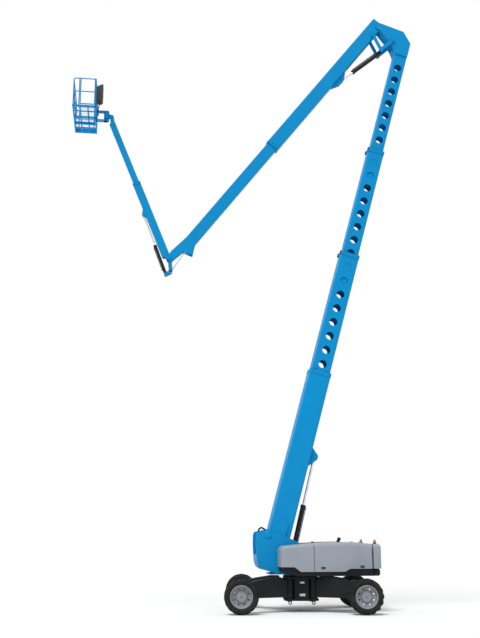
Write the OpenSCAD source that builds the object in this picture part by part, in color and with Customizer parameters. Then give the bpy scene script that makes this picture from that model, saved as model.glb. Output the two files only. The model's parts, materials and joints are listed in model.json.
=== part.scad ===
/* [Pose] */
// Swing of the turntable about its slew axis
swing = 7.5; // [-20:0.5:20]
// Angle of the primary boom above level
primary_angle = 74.6; // [60:0.1:80]
// Angle from the primary boom round to the secondary boom
secondary_angle = 157.5; // [145:0.1:168]
// Angle from the secondary boom back to the jib
jib_angle = 119.7; // [100:0.1:130]

/* [Chassis] */
// Distance between the front and rear kingpins
wheelbase = 4100; // [3900:10:4400]
// Distance between the wheel planes with the axles swung out
track = 3500; // [3400:10:3700]
// Axle hinge pin, distance from the slew axis along the machine
hinge_x = 400; // [380:5:440]
// Axle hinge pin, distance from the slew axis across the machine
hinge_y = 580; // [550:5:620]
// Radius of the axle hinge pins
hinge_r = 70; // [50:1:85]
// Distance from a kingpin to its wheel plane
king_offset = 400; // [390:5:430]
// Radius of the kingpins
king_r = 50; // [35:1:60]
// Height of the chassis top plate
chassis_top = 1150; // [1130:2:1160]
// Underside of the chassis bottom plate
chassis_bottom = 370; // [340:5:390]
// Thickness of the chassis top and bottom plates
chassis_plate = 60; // [40:1:70]
// Underside of the axle boxes
axle_bottom = 490; // [470:5:520]
// Width of the axle boxes
axle_w = 300; // [260:5:310]

/* [Wheels] */
// Outer diameter of the tyres
tyre_d = 1155; // [1100:5:1170]
// Width of the tyres
tyre_w = 445; // [400:5:450]
// Diameter of the rim seat
rim_d = 710; // [680:5:740]
// Radius of the wheel spindles
spindle_r = 60; // [40:1:75]
// Depth of the tread bars
lug_h = 32; // [20:1:40]

/* [Turntable] */
// Underside of the turntable
deck_z = 1194; // [1186:1:1210]
// Height of the turntable platform over its underside
deck_h = 190; // [150:5:210]
// Front end of the side covers, from the slew axis
cover_front = -880; // [-950:2:-850]
// Rear end of the engine covers, from the slew axis
cover_rear = 2285; // [2200:5:2350]
// Rear end of the counterweight, from the slew axis
tail_end = 2620; // [2500:2:2650]
// Seam between the front covers and the engine covers
cover_seam = 246; // [200:2:300]
// Half width over the side covers
cover_half = 1200; // [1150:5:1245]
// Distance of the inner cover wall from the boom plane
cover_inner = 470; // [450:5:500]
// Top of the engine covers
cover_top = 2315; // [2250:5:2400]
// Drop of the covers at their front end
cover_drop = 200; // [150:5:240]
// Corner radius along the top of the covers
cover_r = 130; // [60:5:180]
// Thickness of the cover skins
skin = 20; // [10:1:25]
// Primary boom pivot, distance from the slew axis
pivot_x = -1189; // [-1230:1:-1150]
// Primary boom pivot, height
pivot_z = 2564; // [2500:2:2620]
// Radius of the primary pivot pin
pivot_r = 65; // [50:1:75]
// Thickness of the riser side plates
riser_plate = 60; // [40:1:65]

/* [Primary boom] */
// Depth of the base section
base_depth = 800; // [780:2:810]
// Width of the base section
base_width = 620; // [610:2:624]
// Distance of the boom's centre line behind its pivot
boom_drop = 410; // [404:2:420]
// Step in depth from each section to the next
step_depth = 90; // [84:1:96]
// Step in width from each section to the next
step_width = 73; // [70:1:78]
// Wall of the boom sections
wall = 12; // [8:0.5:14]
// Outer corner radius of the base section
boom_r = 60; // [40:2:80]
// End of the base section, from the pivot
base_end = 6150; // [6000:10:6300]
// End of the second section, from the pivot
second_end = 10900; // [10800:10:10950]
// End of the third section, from the pivot
third_end = 15400; // [15300:10:15450]
// End of the fourth section's tube, from the pivot
fourth_end = 19770; // [19730:10:19850]
// Length of each section that stays inside the one before
overlap = 1500; // [1300:10:1600]
// Diameter of the lightening holes
hole_d = 300; // [220:5:330]
// Pitch of the lightening holes
hole_pitch = 555; // [450:5:700]
// Lift rod pin, distance along the base section
lift_x = 3080; // [2900:10:3200]
// Lift rod pin, distance behind the pivot line
lift_z = 985; // [970:5:1010]
// Radius of the lift cylinder barrel
lift_r = 88; // [75:1:95]
// Radius of the lift cylinder rod
lift_rod_r = 50; // [40:1:60]

/* [Knuckle] */
// Secondary boom hinge, distance along the primary boom
knuckle_x = 20730; // [20700:5:20800]
// Secondary boom hinge, distance ahead of the pivot line
knuckle_z = 740; // [720:5:760]
// Radius of the knuckle pins
knuckle_r = 50; // [35:1:60]
// Thickness of the knuckle cheeks
cheek = 45; // [30:1:50]

/* [Secondary boom] */
// Depth of the secondary boom's base section
arm_depth = 510; // [500:2:520]
// Width of the secondary boom's base section
arm_width = 370; // [350:2:376]
// Distance of the secondary boom's centre line from its hinge
arm_drop = 155; // [145:1:165]
// End of the secondary boom's base section, from its hinge
arm_end = 7090; // [7000:10:7120]
// Depth of the secondary boom's inner section
arm_tip_depth = 430; // [420:2:440]
// Width of the secondary boom's inner section
arm_tip_width = 310; // [300:2:316]
// Jib pin, distance along the secondary boom
jib_pin_x = 13196; // [13150:2:13250]
// Jib pin, distance above the secondary hinge line
jib_pin_z = -322; // [-330:1:-315]
// Radius of the jib pin
jib_pin_r = 40; // [25:1:45]

/* [Jib] */
// Depth of the jib's base section
jib_depth = 284; // [280:1:290]
// Width of the jib's base section
jib_width = 190; // [180:1:194]
// End of the jib's base section, from its pin
jib_end = 3240; // [3200:5:3260]
// Length of the jib from its pin to the platform pin
jib_length = 6060; // [6030:5:6100]
// Radius of the jib cylinder barrel
jib_cyl_r = 60; // [50:1:64]

/* [Platform] */
// Width of the platform across the machine
platform_w = 2340; // [2300:10:2500]
// Depth of the platform along the machine
platform_d = 860; // [800:5:900]
// Height of the top rail over the floor
rail_h = 1090; // [1050:5:1150]
// Section of the platform's tubes
tube = 40; // [30:1:50]
// Distance from the rotator's axis to the platform's inner edge
rotator_gap = 380; // [370:2:420]
// Width of the entry gate
gate_w = 560; // [500:5:620]

/* [Hidden] */
$fn = 48;

blue = [0.04, 0.50, 0.80];
grey = [0.62, 0.64, 0.67];
charcoal = [0.13, 0.14, 0.15];
rubber = [0.10, 0.10, 0.11];
steel = [0.78, 0.79, 0.80];

// Running clearance round a pin, clearance between faces that pass each other, and a cut's overshoot
pin_gap = 0.2;
face_gap = 6;
cut = 1;

// Slide pads in the mouth of each telescoping section: length and running gap
pad_l = 120;
pad_gap = 1;

// Slew ring: outer radius, bore, and running gap under the turntable
slew_r = 580;
slew_bore_r = 440;
slew_gap = 0.4;

// Chassis, in the frame of one corner: origin under the kingpin, x to the middle, y inboard
king_x = wheelbase / 2;
king_y = track / 2 - king_offset;
to_hinge = [king_x - hinge_x, king_y - hinge_y];
axle_z = tyre_d / 2;
plate_top_z = chassis_top - chassis_plate;
plate_low_z = chassis_bottom + chassis_plate;
hinge_boss_r = hinge_r + 80;
clevis_r = hinge_boss_r + 40;
tie_r = 32;
tie_t = 40;
tie_drop = 60;
tie_y = hinge_y + clevis_r - tie_t - 20;
yoke_r = king_offset - tyre_w / 2 - 32;
yoke_h = 275;

// Turntable
deck_top = deck_z + deck_h;
pivot = [pivot_x, pivot_z];
riser_front = pivot_x - 425;
riser_in = base_width / 2 + 50;
riser_out = riser_in + riser_plate;
disc_r = slew_r - 20;
disc_t = 40;
lift_base = [pivot_x + 854, pivot_z - 964];
lift_pin_r = 45;
tail_front = cover_rear + 40;
lid_inner = cover_inner + 120;
strip_top = cover_top - 40;
lid_eye_r = 16;
lid_eye_l = 60;
lid_pin_r = 8;
lid_lug_t = 8;
lid_axis = [lid_inner - 30, cover_top - 10];
lid_eyes = [cover_seam + 300, cover_rear - 300];

// Boom directions and pins, in the plane of the booms: distance along the machine, height
function turn(p, a) = [p.x * cos(a) - p.y * sin(a), p.x * sin(a) + p.y * cos(a)];
function heading(a, b) = atan2(b.y - a.y, b.x - a.x);
secondary_dir = primary_angle + secondary_angle;
jib_dir = secondary_dir - jib_angle;
function primary_point(p) = pivot + turn(p, primary_angle);
knuckle_pin = primary_point([knuckle_x, knuckle_z]);
function secondary_point(p) = knuckle_pin + turn(p, secondary_dir);
jib_pin = secondary_point([jib_pin_x, jib_pin_z]);
function jib_point(p) = jib_pin + turn(p, jib_dir);
lift_eye = primary_point([lift_x, -lift_z]);

// Primary sections, base to tip
second_tail = base_end - overlap;
third_tail = second_end - overlap;
fourth_tail = third_end - overlap;
function primary_depth(i) = base_depth - i * step_depth;
function primary_width(i) = base_width - i * step_width;
collar_l = 150;
collar_t = 14;
hole_from_head = 590;

// Knuckle linkage, pins on the primary tip and on the secondary base
link_a = [knuckle_x - 440, knuckle_z - 670];
link_b = [521, 37];
cheek_in = arm_width / 2 + 15;
cheek_out = cheek_in + cheek;
link_t = 30;
joint_a = primary_point(link_a);
joint_b = secondary_point(link_b);
link_j = [837, 670];
fold_eye = [2916, 220];
joint_j = secondary_point(link_j);
rod_c = secondary_point(fold_eye);
link_b_in = cheek_out + 4;
link_a_in = link_b_in + link_t + face_gap;
fold_r = 85;
fold_rod_r = 48;

// Secondary boom sections
arm_head = -160;
arm_tip_tail = arm_end - 1250;
fork_start = 12000;
fork_in = arm_tip_width / 2 - 10;
fork_out = fork_in + 35;

// Jib: bellcrank points from the jib pin in level axes
crank_low = [-130, -606];
crank_back = [46, -503];
crank_out = fork_in - 8;
crank_in = crank_out - 30;
jib_drop = 92;
jib_tip_z = 15;
jib_tail = jib_end - 600;
jib_tip_depth = jib_depth - 60;
jib_tip_width = jib_width - 40;
jib_lug = [1920, 300];
jib_eye = jib_point(jib_lug);
crank_low_pin = jib_pin + crank_low;
crank_back_pin = jib_pin + crank_back;
level_base = secondary_point([11300, -150]);
level_r = 48;
level_rod_r = 26;
jib_rod_r = 34;
small_pin_r = 28;

// Platform
tip_pin = jib_point([jib_length, jib_tip_z]);
rotator_x = tip_pin.x - 197;
inner_edge = rotator_x - rotator_gap;
outer_edge = inner_edge - platform_d;
floor_z = tip_pin.y - 130;
half_w = platform_w / 2;
gate_eye_r = 16;
gate_pin_r = 8;
gate_eye_h = 60;
gate_axis = [inner_edge - tube - face_gap, -half_w + tube + gate_eye_r];
gate_eyes = [floor_z + 0.25 * rail_h, floor_z + 0.75 * rail_h];

// Frames
module swung() {
  rotate([0, 0, swing]) children();
}

module at(p, a) {
  swung() translate([p.x, 0, p.y]) rotate([0, -a, 0]) children();
}

module corner(sx, sy) {
  translate([sx * king_x, sy * king_y, 0])
    mirror([sx > 0 ? 1 : 0, 0, 0]) mirror([0, sy > 0 ? 1 : 0, 0]) children();
}

// Shared forms
module slab(y0, y1) {
  translate([0, y1, 0]) rotate([90, 0, 0]) linear_extrude(y1 - y0) children();
}

module pair(y0, y1) {
  slab(y0, y1) children();
  slab(-y1, -y0) children();
}

module cross_pin(p, r, half) {
  translate([p.x, 0, p.y]) rotate([90, 0, 0]) cylinder(r = r, h = 2 * half, center = true);
}

module pin_heads(p, r, y0, y1) {
  pair(y0, y1) translate(p) circle(r = r);
}

module round_rect(w, h, r) {
  square([w - 2 * r, h], center = true);
  square([w, h - 2 * r], center = true);
  for (sx = [-1, 1], sy = [-1, 1])
    translate([sx * (w / 2 - r), sy * (h / 2 - r)]) circle(r = r);
}

module box_tube(x0, x1, z, depth, width, r, t = wall) {
  translate([x0, 0, z]) rotate([90, 0, 90]) linear_extrude(x1 - x0) difference() {
    round_rect(width, depth, r);
    round_rect(width - 2 * t, depth - 2 * t, r - t);
  }
}

module slide_pads(x, z, depth, width, gap_z, gap_y) {
  thick_z = gap_z - pad_gap + cut;
  thick_y = gap_y - pad_gap + cut;
  for (side = [0, 1]) {
    translate([0, 0, z]) mirror([0, 0, side]) translate([x - pad_l, -width / 4, depth / 2 + cut - thick_z])
      cube([pad_l, width / 2, thick_z]);
    translate([0, 0, z]) mirror([0, side, 0]) translate([x - pad_l, width / 2 + cut - thick_y, -depth / 4])
      cube([pad_l, thick_y, depth / 2]);
  }
}

module barrel(length, r, rod_r, eye_w, pin_r) {
  difference() {
    union() {
      translate([pin_r, 0, 0]) rotate([0, 90, 0]) cylinder(r = r, h = length - pin_r);
      translate([length - r, 0, 0]) rotate([0, 90, 0]) cylinder(r = r + 6, h = r);
      cross_pin([0, 0], pin_r + r / 2, eye_w / 2);
    }
    translate([pin_r + r, 0, 0]) rotate([0, 90, 0]) cylinder(r = r - 10, h = length - pin_r - r - 60);
    rotate([0, 90, 0]) cylinder(r = rod_r + 0.5, h = length + cut);
    cross_pin([0, 0], pin_r + pin_gap, eye_w);
  }
}

module rod(tail, length, r, eye_w, pin_r) {
  difference() {
    union() {
      translate([tail, 0, 0]) rotate([0, 90, 0]) cylinder(r = r, h = length - tail - pin_r);
      cross_pin([length, 0], pin_r + r * 0.6, eye_w / 2);
    }
    cross_pin([length, 0], pin_r + pin_gap, eye_w);
  }
}

// Chassis
module tie_down_outline() {
  difference() {
    union() {
      translate([0, -tie_drop]) circle(r = tie_r + 30);
      translate([-tie_r - 30, -tie_drop]) square([2 * tie_r + 60, tie_drop + cut]);
    }
    translate([0, -tie_drop]) circle(r = tie_r);
  }
}

module chassis_frame() {
  block_half = hinge_x - hinge_boss_r - 2 * face_gap;
  plate_x = hinge_x + clevis_r;
  plate_y = hinge_y + clevis_r;
  color(charcoal) {
    for (z = [chassis_bottom, plate_top_z])
      translate([0, 0, z]) linear_extrude(chassis_plate) round_rect(2 * plate_x, 2 * plate_y, clevis_r);
    difference() {
      translate([-block_half, -plate_y, plate_low_z])
        cube([2 * block_half, 2 * plate_y, plate_top_z - plate_low_z]);
      translate([-block_half + 40, -plate_y + 40, plate_low_z - cut])
        cube([2 * block_half - 80, 2 * plate_y - 80, plate_top_z - plate_low_z + 2 * cut]);
    }
    for (sx = [-1, 1], sy = [-1, 1])
      translate([sx * hinge_x, sy * hinge_y, chassis_bottom - 30])
        cylinder(r = hinge_r, h = chassis_top - chassis_bottom + 50);
    translate([0, 0, chassis_top]) difference() {
      cylinder(r = slew_r, h = deck_z - chassis_top - slew_gap);
      translate([0, 0, -cut]) cylinder(r = slew_bore_r, h = deck_z);
    }
    for (side = [0, 1]) mirror([0, side, 0]) slab(tie_y, tie_y + tie_t) for (sx = [-1, 1])
      translate([sx * hinge_x, chassis_bottom]) tie_down_outline();
  }
}

module axle_arm(sx, sy) {
  color(charcoal) corner(sx, sy) difference() {
    union() {
      intersection() {
        translate([0, 0, axle_bottom - 60]) linear_extrude(chassis_top) polygon([
          [60, -70], to_hinge + [-90, -axle_w / 2 - 20], to_hinge + [-40, axle_w / 2 - 30],
          to_hinge + [-200, axle_w / 2 - 20], [300, 60 + axle_w], [-40, 110]]);
        slab(-king_y, track) polygon([
          [0, axle_z - yoke_h / 2], [300, axle_bottom - 20], [700, axle_bottom],
          [to_hinge.x, axle_bottom], [to_hinge.x, plate_top_z - 30],
          [to_hinge.x - clevis_r - 110, plate_top_z - 30], [to_hinge.x - clevis_r - 120, chassis_top],
          [to_hinge.x - 600, chassis_top], [490, chassis_top - 100], [230, chassis_top - 170],
          [yoke_r + 20, axle_z + yoke_h / 2], [0, axle_z + yoke_h / 2]]);
      }
      translate([0, 0, axle_z - yoke_h / 2]) cylinder(r = yoke_r, h = yoke_h);
      translate([to_hinge.x, to_hinge.y, plate_low_z + 2 * face_gap])
        cylinder(r = hinge_boss_r, h = plate_top_z - plate_low_z - 4 * face_gap);
    }
    cylinder(r = king_r + pin_gap, h = chassis_top);
    translate([to_hinge.x, to_hinge.y, 0]) cylinder(r = hinge_r + pin_gap, h = 2 * chassis_top);
  }
}

module steering_knuckle(sx, sy) {
  plate = 60;
  top = axle_z + yoke_h / 2 + face_gap;
  low = axle_z - yoke_h / 2 - face_gap - plate;
  drum_r = rim_d / 2 - 150;
  color(charcoal) corner(sx, sy) {
    for (z = [low, top]) translate([0, 0, z]) linear_extrude(plate) union() {
      circle(r = yoke_r - 20);
      translate([-yoke_r + 20, -yoke_r - 80]) square([2 * yoke_r - 40, yoke_r + 80]);
    }
    translate([0, 0, low]) cylinder(r = king_r, h = top + plate - low);
    translate([-yoke_r + 20, -yoke_r - 80, low]) cube([2 * yoke_r - 40, 80 - face_gap, top + plate - low]);
    translate([0, -yoke_r - 79, axle_z]) rotate([90, 0, 0])
      cylinder(r = drum_r, h = king_offset - yoke_r - 79 - 40);
    translate([0, -yoke_r - 79, axle_z]) rotate([90, 0, 0])
      cylinder(r = spindle_r, h = king_offset - yoke_r - 79 + 110);
  }
}

module at_wheel(sx, sy) {
  corner(sx, sy) translate([0, -king_offset, axle_z]) rotate([90, 0, 0]) children();
}

module tyre(sx, sy) {
  r = tyre_d / 2;
  bead = rim_d / 2;
  shoulder = 70;
  color(rubber) at_wheel(sx, sy) rotate_extrude() polygon([
    [bead, -tyre_w / 2 + 70], [bead + 20, -tyre_w / 2 + 30], [bead + 90, -tyre_w / 2],
    [r - shoulder, -tyre_w / 2], [r - 15, -tyre_w / 2 + 30], [r, -tyre_w / 2 + shoulder + 10],
    [r, tyre_w / 2 - shoulder - 10], [r - 15, tyre_w / 2 - 30], [r - shoulder, tyre_w / 2],
    [bead + 90, tyre_w / 2], [bead + 20, tyre_w / 2 - 30], [bead, tyre_w / 2 - 70]]);
}

module wheel_rim(sx, sy) {
  bead = rim_d / 2;
  half = tyre_w / 2;
  color(grey) at_wheel(sx, sy) difference() {
    union() {
      rotate_extrude() polygon([
        [bead, -half + 70], [bead, half - 70], [bead + 18, half - 34], [bead + 18, half - 20],
        [bead - 6, half - 20], [bead - 30, half - 70], [bead - 40, 90], [190, 60], [170, 110],
        [150, 122], [0, 122], [0, 30], [190, 30], [bead - 40, 50], [bead - 24, -half + 70],
        [bead - 6, -half + 20], [bead + 18, -half + 20], [bead + 18, -half + 34]]);
    }
    translate([0, 0, -half]) cylinder(r = spindle_r + pin_gap, h = half + 110 + pin_gap);
    for (a = [0 : 45 : 315]) rotate(a + 22.5) translate([255, 0, 0]) cylinder(r = 28, h = half);
  }
}

// Turntable
module riser_outline() {
  polygon([
    [riser_front, pivot_z - 260], [riser_front + 16, pivot_z + 20], [riser_front + 66, pivot_z + 90],
    [pivot_x, pivot_z + 170], [pivot_x + 300, pivot_z + 60], [pivot_x + 880, pivot_z - 184],
    [pivot_x + 1700, pivot_z - 560], [pivot_x + 1900, deck_top], [pivot_x + 1900, deck_z + 30],
    [pivot_x + 330, deck_z + 30], [riser_front + 640, deck_z + 90], [riser_front + 240, deck_z + 196],
    [riser_front + 100, deck_z + 280], [riser_front + 36, deck_z + 440], [riser_front + 16, deck_z + 700]]);
}

module turntable_riser() {
  color(blue) swung() {
    pair(riser_in, riser_out) riser_outline();
    cross_pin(pivot, pivot_r, riser_out + 15);
    slab(-riser_in - cut, riser_in + cut) polygon([
      [riser_front + 100, deck_z + 280], [riser_front + 36, deck_z + 440], [riser_front + 16, deck_z + 700],
      [riser_front + 46, deck_z + 700], [riser_front + 66, deck_z + 445], [riser_front + 126, deck_z + 300]]);
    difference() {
      translate([0, 0, deck_z]) cylinder(r = disc_r, h = disc_t);
      translate([0, 0, deck_z - cut]) cylinder(r = 300, h = disc_t + 2 * cut);
    }
    slab(-riser_in - cut, riser_in + cut) polygon([
      [pivot_x + 50, deck_z + 30], [pivot_x + 1900, deck_z + 30],
      [pivot_x + 1900, deck_z + 90], [pivot_x + 50, deck_z + 90]]);
    pair(lift_r + 20, lift_r + 65) polygon([
      [lift_base.x - 220, deck_z + 85], [lift_base.x + 220, deck_z + 85],
      [lift_base.x + 80, lift_base.y + 60], [lift_base.x - 80, lift_base.y + 60]]);
    cross_pin(lift_base, lift_pin_r, lift_r + 75);
  }
}

module turntable_deck() {
  color(charcoal) swung() for (sy = [-1, 1]) {
    y0 = sy > 0 ? riser_out : -cover_half + 30;
    difference() {
      translate([cover_front + 30, y0, deck_z])
        cube([tail_front - cover_front - 30, cover_half - 30 - riser_out, deck_h]);
      translate([cover_front + 60, y0 + 30, deck_z - cut])
        cube([tail_front - cover_front - 90, cover_half - 90 - riser_out, deck_h - 30]);
      translate([0, 0, deck_z - cut]) cylinder(r = disc_r + face_gap, h = disc_t + face_gap);
    }
  }
}

module counterweight() {
  color(charcoal) swung() difference() {
    translate([tail_front, -cover_half + 10, deck_z + 20])
      cube([tail_end - tail_front, 2 * cover_half - 20, cover_top - deck_z - 60]);
    translate([cover_rear, -cover_inner, deck_z + 380])
      cube([tail_end, 2 * cover_inner, cover_top]);
    for (sy = [-1, 1]) translate([tail_end, sy * cover_half, 0])
      rotate([0, 0, 45]) cube([240, 240, 3 * cover_top], center = true);
  }
}

module engine_and_tanks() {
  color(charcoal) swung() for (y = [-cover_half + 140, cover_inner + 90])
    translate([cover_seam + 250, y, deck_top]) cube([1300, cover_half - cover_inner - 230, 620]);
}

// One side of the cover's section across the machine, with its rounded top edge
module cover_section(inset) {
  r = cover_r - inset;
  difference() {
    translate([cover_inner + inset, deck_top - (inset > 0 ? 2 * cut : 0)])
      square([cover_half - cover_inner - 2 * inset, cover_top - inset - deck_top + (inset > 0 ? 2 * cut : 0)]);
    translate([cover_half - inset - r, cover_top - inset - r]) difference() {
      square([r + cut, r + cut]);
      circle(r = r);
    }
  }
}

module cover_shell(x0, x1) {
  difference() {
    translate([x0, 0, 0]) rotate([90, 0, 90]) linear_extrude(x1 - x0) cover_section(0);
    translate([x0 + skin, 0, 0]) rotate([90, 0, 90]) linear_extrude(x1 - x0 - 2 * skin) cover_section(skin);
  }
}

module front_covers() {
  color(grey) swung() for (side = [0, 1]) mirror([0, side, 0]) {
    intersection() {
      cover_shell(cover_front, cover_seam - face_gap);
      slab(0, cover_half + cut) polygon([
        [cover_front + 60, deck_top - cut], [cover_front, deck_top + 120],
        [cover_front, cover_top - cover_drop - 60], [cover_front + 60, cover_top - cover_drop],
        [cover_seam, cover_top], [cover_seam, deck_top - cut]]);
    }
    translate([cover_seam - face_gap - skin, cover_inner, deck_top])
      cube([tail_front - cover_seam + face_gap + skin, skin, strip_top - deck_top]);
    translate([cover_seam - face_gap - skin, cover_inner, strip_top - skin])
      cube([tail_front - cover_seam + face_gap + skin, lid_inner - face_gap - cover_inner, skin]);
    for (x = lid_eyes) {
      lid_hinge(x - lid_lug_t - 2, lid_lug_t, lid_eye_r);
      lid_hinge(x + lid_eye_l + 2, lid_lug_t, lid_eye_r);
      lid_hinge(x - lid_lug_t - 2, lid_eye_l + 2 * lid_lug_t + 4, lid_pin_r);
      for (x_lug = [x - lid_lug_t - 2, x + lid_eye_l + 2])
        translate([x_lug, lid_axis.x - lid_eye_r, strip_top - cut])
          cube([lid_lug_t, 2 * lid_eye_r, lid_axis.y - strip_top + cut]);
    }
  }
}

// A round of a lid hinge on its axis along the machine
module lid_hinge(x, length, r) {
  translate([x, lid_axis.x, lid_axis.y]) rotate([0, 90, 0]) cylinder(r = r, h = length);
}

module engine_cover(side) {
  color(grey) swung() mirror([0, side, 0]) {
    difference() {
      cover_shell(cover_seam, cover_rear);
      translate([cover_seam - cut, 0, 0])
        cube([cover_rear - cover_seam + 2 * cut, lid_inner, 2 * cover_top]);
    }
    for (x = lid_eyes) difference() {
      union() {
        lid_hinge(x, lid_eye_l, lid_eye_r);
        translate([x, lid_axis.x, cover_top - skin + 4])
          cube([lid_eye_l, lid_inner - lid_axis.x + cut, skin - 8]);
      }
      lid_hinge(x - cut, lid_eye_l + 2 * cut, lid_pin_r + pin_gap);
    }
  }
}

module tail_fittings() {
  color(charcoal) swung() {
    translate([cover_seam + 780, cover_inner + 30, strip_top]) cylinder(r = 45, h = 190);
    for (sy = [-1, 1]) translate([tail_end - 160, sy * (cover_half - 300), cover_top - 40])
      cylinder(r = 60, h = 120);
  }
}

// Primary boom
module holes(x_head, x_tail, z, width) {
  count = floor((x_head - hole_from_head - x_tail - 500) / hole_pitch);
  for (i = [0 : count])
    cross_pin([x_head - hole_from_head - i * hole_pitch, z], hole_d / 2, width);
}

module primary_section(i, x0, x1) {
  d = primary_depth(i);
  w = primary_width(i);
  r = boom_r - 8 * i;
  box_tube(x0, x1, -boom_drop, d, w, r);
  box_tube(x1 - collar_l, x1, -boom_drop, d + 2 * collar_t, w + 2 * collar_t, r + collar_t, wall + collar_t);
  slide_pads(x1, -boom_drop, d - 2 * wall, w - 2 * wall, step_depth / 2 - wall, step_width / 2 - wall);
}

module primary_base() {
  foot = base_width / 2;
  color(blue) at(pivot, primary_angle) {
    difference() {
      union() {
        primary_section(0, -280, base_end);
        translate([-280, 0, -boom_drop]) rotate([90, 0, 90]) linear_extrude(30)
          round_rect(base_width - wall, base_depth - wall, boom_r - wall / 2);
        pair(foot - 1, foot + 44) union() {
          circle(r = 170);
          polygon([[-170, 0], [170, 0], [700, -boom_drop], [500, -boom_drop - 200], [-240, -boom_drop - 200]]);
        }
      }
      cross_pin([0, 0], pivot_r + pin_gap, base_width);
    }
    pair(lift_r + 12, lift_r + 52) polygon([
      [lift_x - 420, -boom_drop - base_depth / 2 + 6], [lift_x + 320, -boom_drop - base_depth / 2 + 6],
      [lift_x + 70, -lift_z - 110], [lift_x - 70, -lift_z - 110]]);
    pin_heads([lift_x, -lift_z], lift_pin_r + 15, lift_r + 51, lift_r + 70);
  }
}

module primary_second() {
  color(blue) at(pivot, primary_angle) difference() {
    primary_section(1, second_tail, second_end);
    holes(second_end, second_tail, -boom_drop, base_width);
  }
}

module primary_third() {
  color(blue) at(pivot, primary_angle) difference() {
    primary_section(2, third_tail, third_end);
    holes(third_end, third_tail, -boom_drop, base_width);
  }
}

module primary_tip() {
  d = primary_depth(3);
  w = primary_width(3);
  front = -boom_drop + d / 2;
  back = -boom_drop - d / 2;
  color(blue) at(pivot, primary_angle) {
    difference() {
      box_tube(fourth_tail, fourth_end + 20, -boom_drop, d, w, boom_r - 24);
      holes(fourth_end, fourth_tail, -boom_drop, base_width);
    }
    pair(cheek_in, cheek_out) difference() {
      union() {
        polygon([
          [fourth_end, back], [knuckle_x - 330, back], [knuckle_x + 100, -275],
          [knuckle_x + 150, knuckle_z - 60], [knuckle_x + 40, knuckle_z + 145],
          [knuckle_x - 130, knuckle_z - 40], [link_a.x - 80, link_a.y + 130],
          [link_a.x - 330, -20], [fourth_end, front]]);
        translate([knuckle_x, knuckle_z]) circle(r = 150);
      }
    }
    pair(fold_r + 15, cheek_out) translate([knuckle_x, knuckle_z]) circle(r = knuckle_r);
    slab(-cheek_in - cut, cheek_in + cut) polygon([
      [fourth_end, back], [knuckle_x - 330, back], [knuckle_x + 100, -275], [knuckle_x + 60, -275],
      [knuckle_x - 350, back + 40], [fourth_end, back + 40]]);
    slab(-cheek_in - cut, cheek_in + cut) polygon([
      [fourth_end, front], [fourth_end, front - 40], [link_a.x - 330, -60], [link_a.x - 330, -20]]);
    pair(cheek_out - cut, link_a_in + link_t + 3) translate(link_a) circle(r = knuckle_r);
  }
}

module primary_lift_barrel() {
  color(charcoal) at(lift_base, heading(lift_base, lift_eye)) barrel(2040, lift_r, lift_rod_r, 2 * lift_r + 20, lift_pin_r);
}

module primary_lift_rod() {
  length = norm(lift_eye - lift_base);
  color(steel) at(lift_base, heading(lift_base, lift_eye))
    rod(length - 1900, length, lift_rod_r, 2 * lift_r + 12, lift_pin_r);
}

// Secondary boom and its knuckle linkage
module secondary_base() {
  low = -arm_drop + arm_depth / 2;
  color(blue) at(knuckle_pin, secondary_dir) {
    difference() {
      union() {
        box_tube(arm_head, arm_end, -arm_drop, arm_depth, arm_width, 40);
        box_tube(arm_end - 90, arm_end, -arm_drop, arm_depth + 20, arm_width + 20, 50, wall + 10);
        slide_pads(arm_end, -arm_drop, arm_depth - 2 * wall, arm_width - 2 * wall,
          (arm_depth - arm_tip_depth) / 2 - wall, (arm_width - arm_tip_width) / 2 - wall);
        translate([arm_head, 0, -arm_drop]) rotate([90, 0, 90]) linear_extrude(16)
          round_rect(arm_width - wall, arm_depth - wall, 40 - wall / 2);
        pair(arm_width / 2 - 1, arm_width / 2 + 9) circle(r = 150);
        pair(fold_rod_r + 12, fold_rod_r + 42) polygon([
          [2480, low - 5], [3500, low - 5], fold_eye + [220, 60], fold_eye + [-60, 80]]);
      }
      cross_pin([0, 0], knuckle_r + pin_gap, arm_width);
      translate([arm_head - cut, -fold_r - 30, -60]) cube([2400 - arm_head, 2 * fold_r + 60, arm_depth]);
      slab(-arm_width, arm_width) polygon([
        [arm_head - cut, -20], [arm_head - cut, low + 20], [-60, low + 20]]);
    }
    cross_pin(fold_eye, small_pin_r, fold_rod_r + 50);
    pair(arm_width / 2 - cut, link_b_in + link_t + 3) translate(link_b) circle(r = knuckle_r);
  }
}

module secondary_tip() {
  top = -arm_drop - arm_tip_depth / 2;
  low = -arm_drop + arm_tip_depth / 2;
  color(blue) at(knuckle_pin, secondary_dir) {
    box_tube(arm_tip_tail, 12150, -arm_drop, arm_tip_depth, arm_tip_width, 34);
    pair(fork_in, fork_out) union() {
      polygon([
        [fork_start, top + 34], [jib_pin_x - 250, jib_pin_z - 130], [jib_pin_x, jib_pin_z - 110],
        [jib_pin_x, jib_pin_z + 110], [12660, -119], [12550, 254], [fork_start + 150, low], [fork_start, low - 34]]);
      translate([jib_pin_x, jib_pin_z]) circle(r = 110);
    }
    cross_pin([jib_pin_x, jib_pin_z], jib_pin_r, fork_out + 10);
    cross_pin([11300, -150], small_pin_r, arm_tip_width / 2 - wall / 2);
  }
}

module secondary_barrel() {
  color(charcoal) at(joint_j, heading(joint_j, rod_c)) {
    barrel(1500, fold_r, fold_rod_r, 2 * fold_r + 10, small_pin_r + 10 - pin_gap);
    cross_pin([0, 0], small_pin_r + 10, cheek_out - 2);
  }
}

module secondary_rod() {
  length = norm(rod_c - joint_j);
  color(steel) at(joint_j, heading(joint_j, rod_c))
    rod(length - 1350, length, fold_rod_r, 2 * fold_rod_r + 10, small_pin_r);
}

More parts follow.
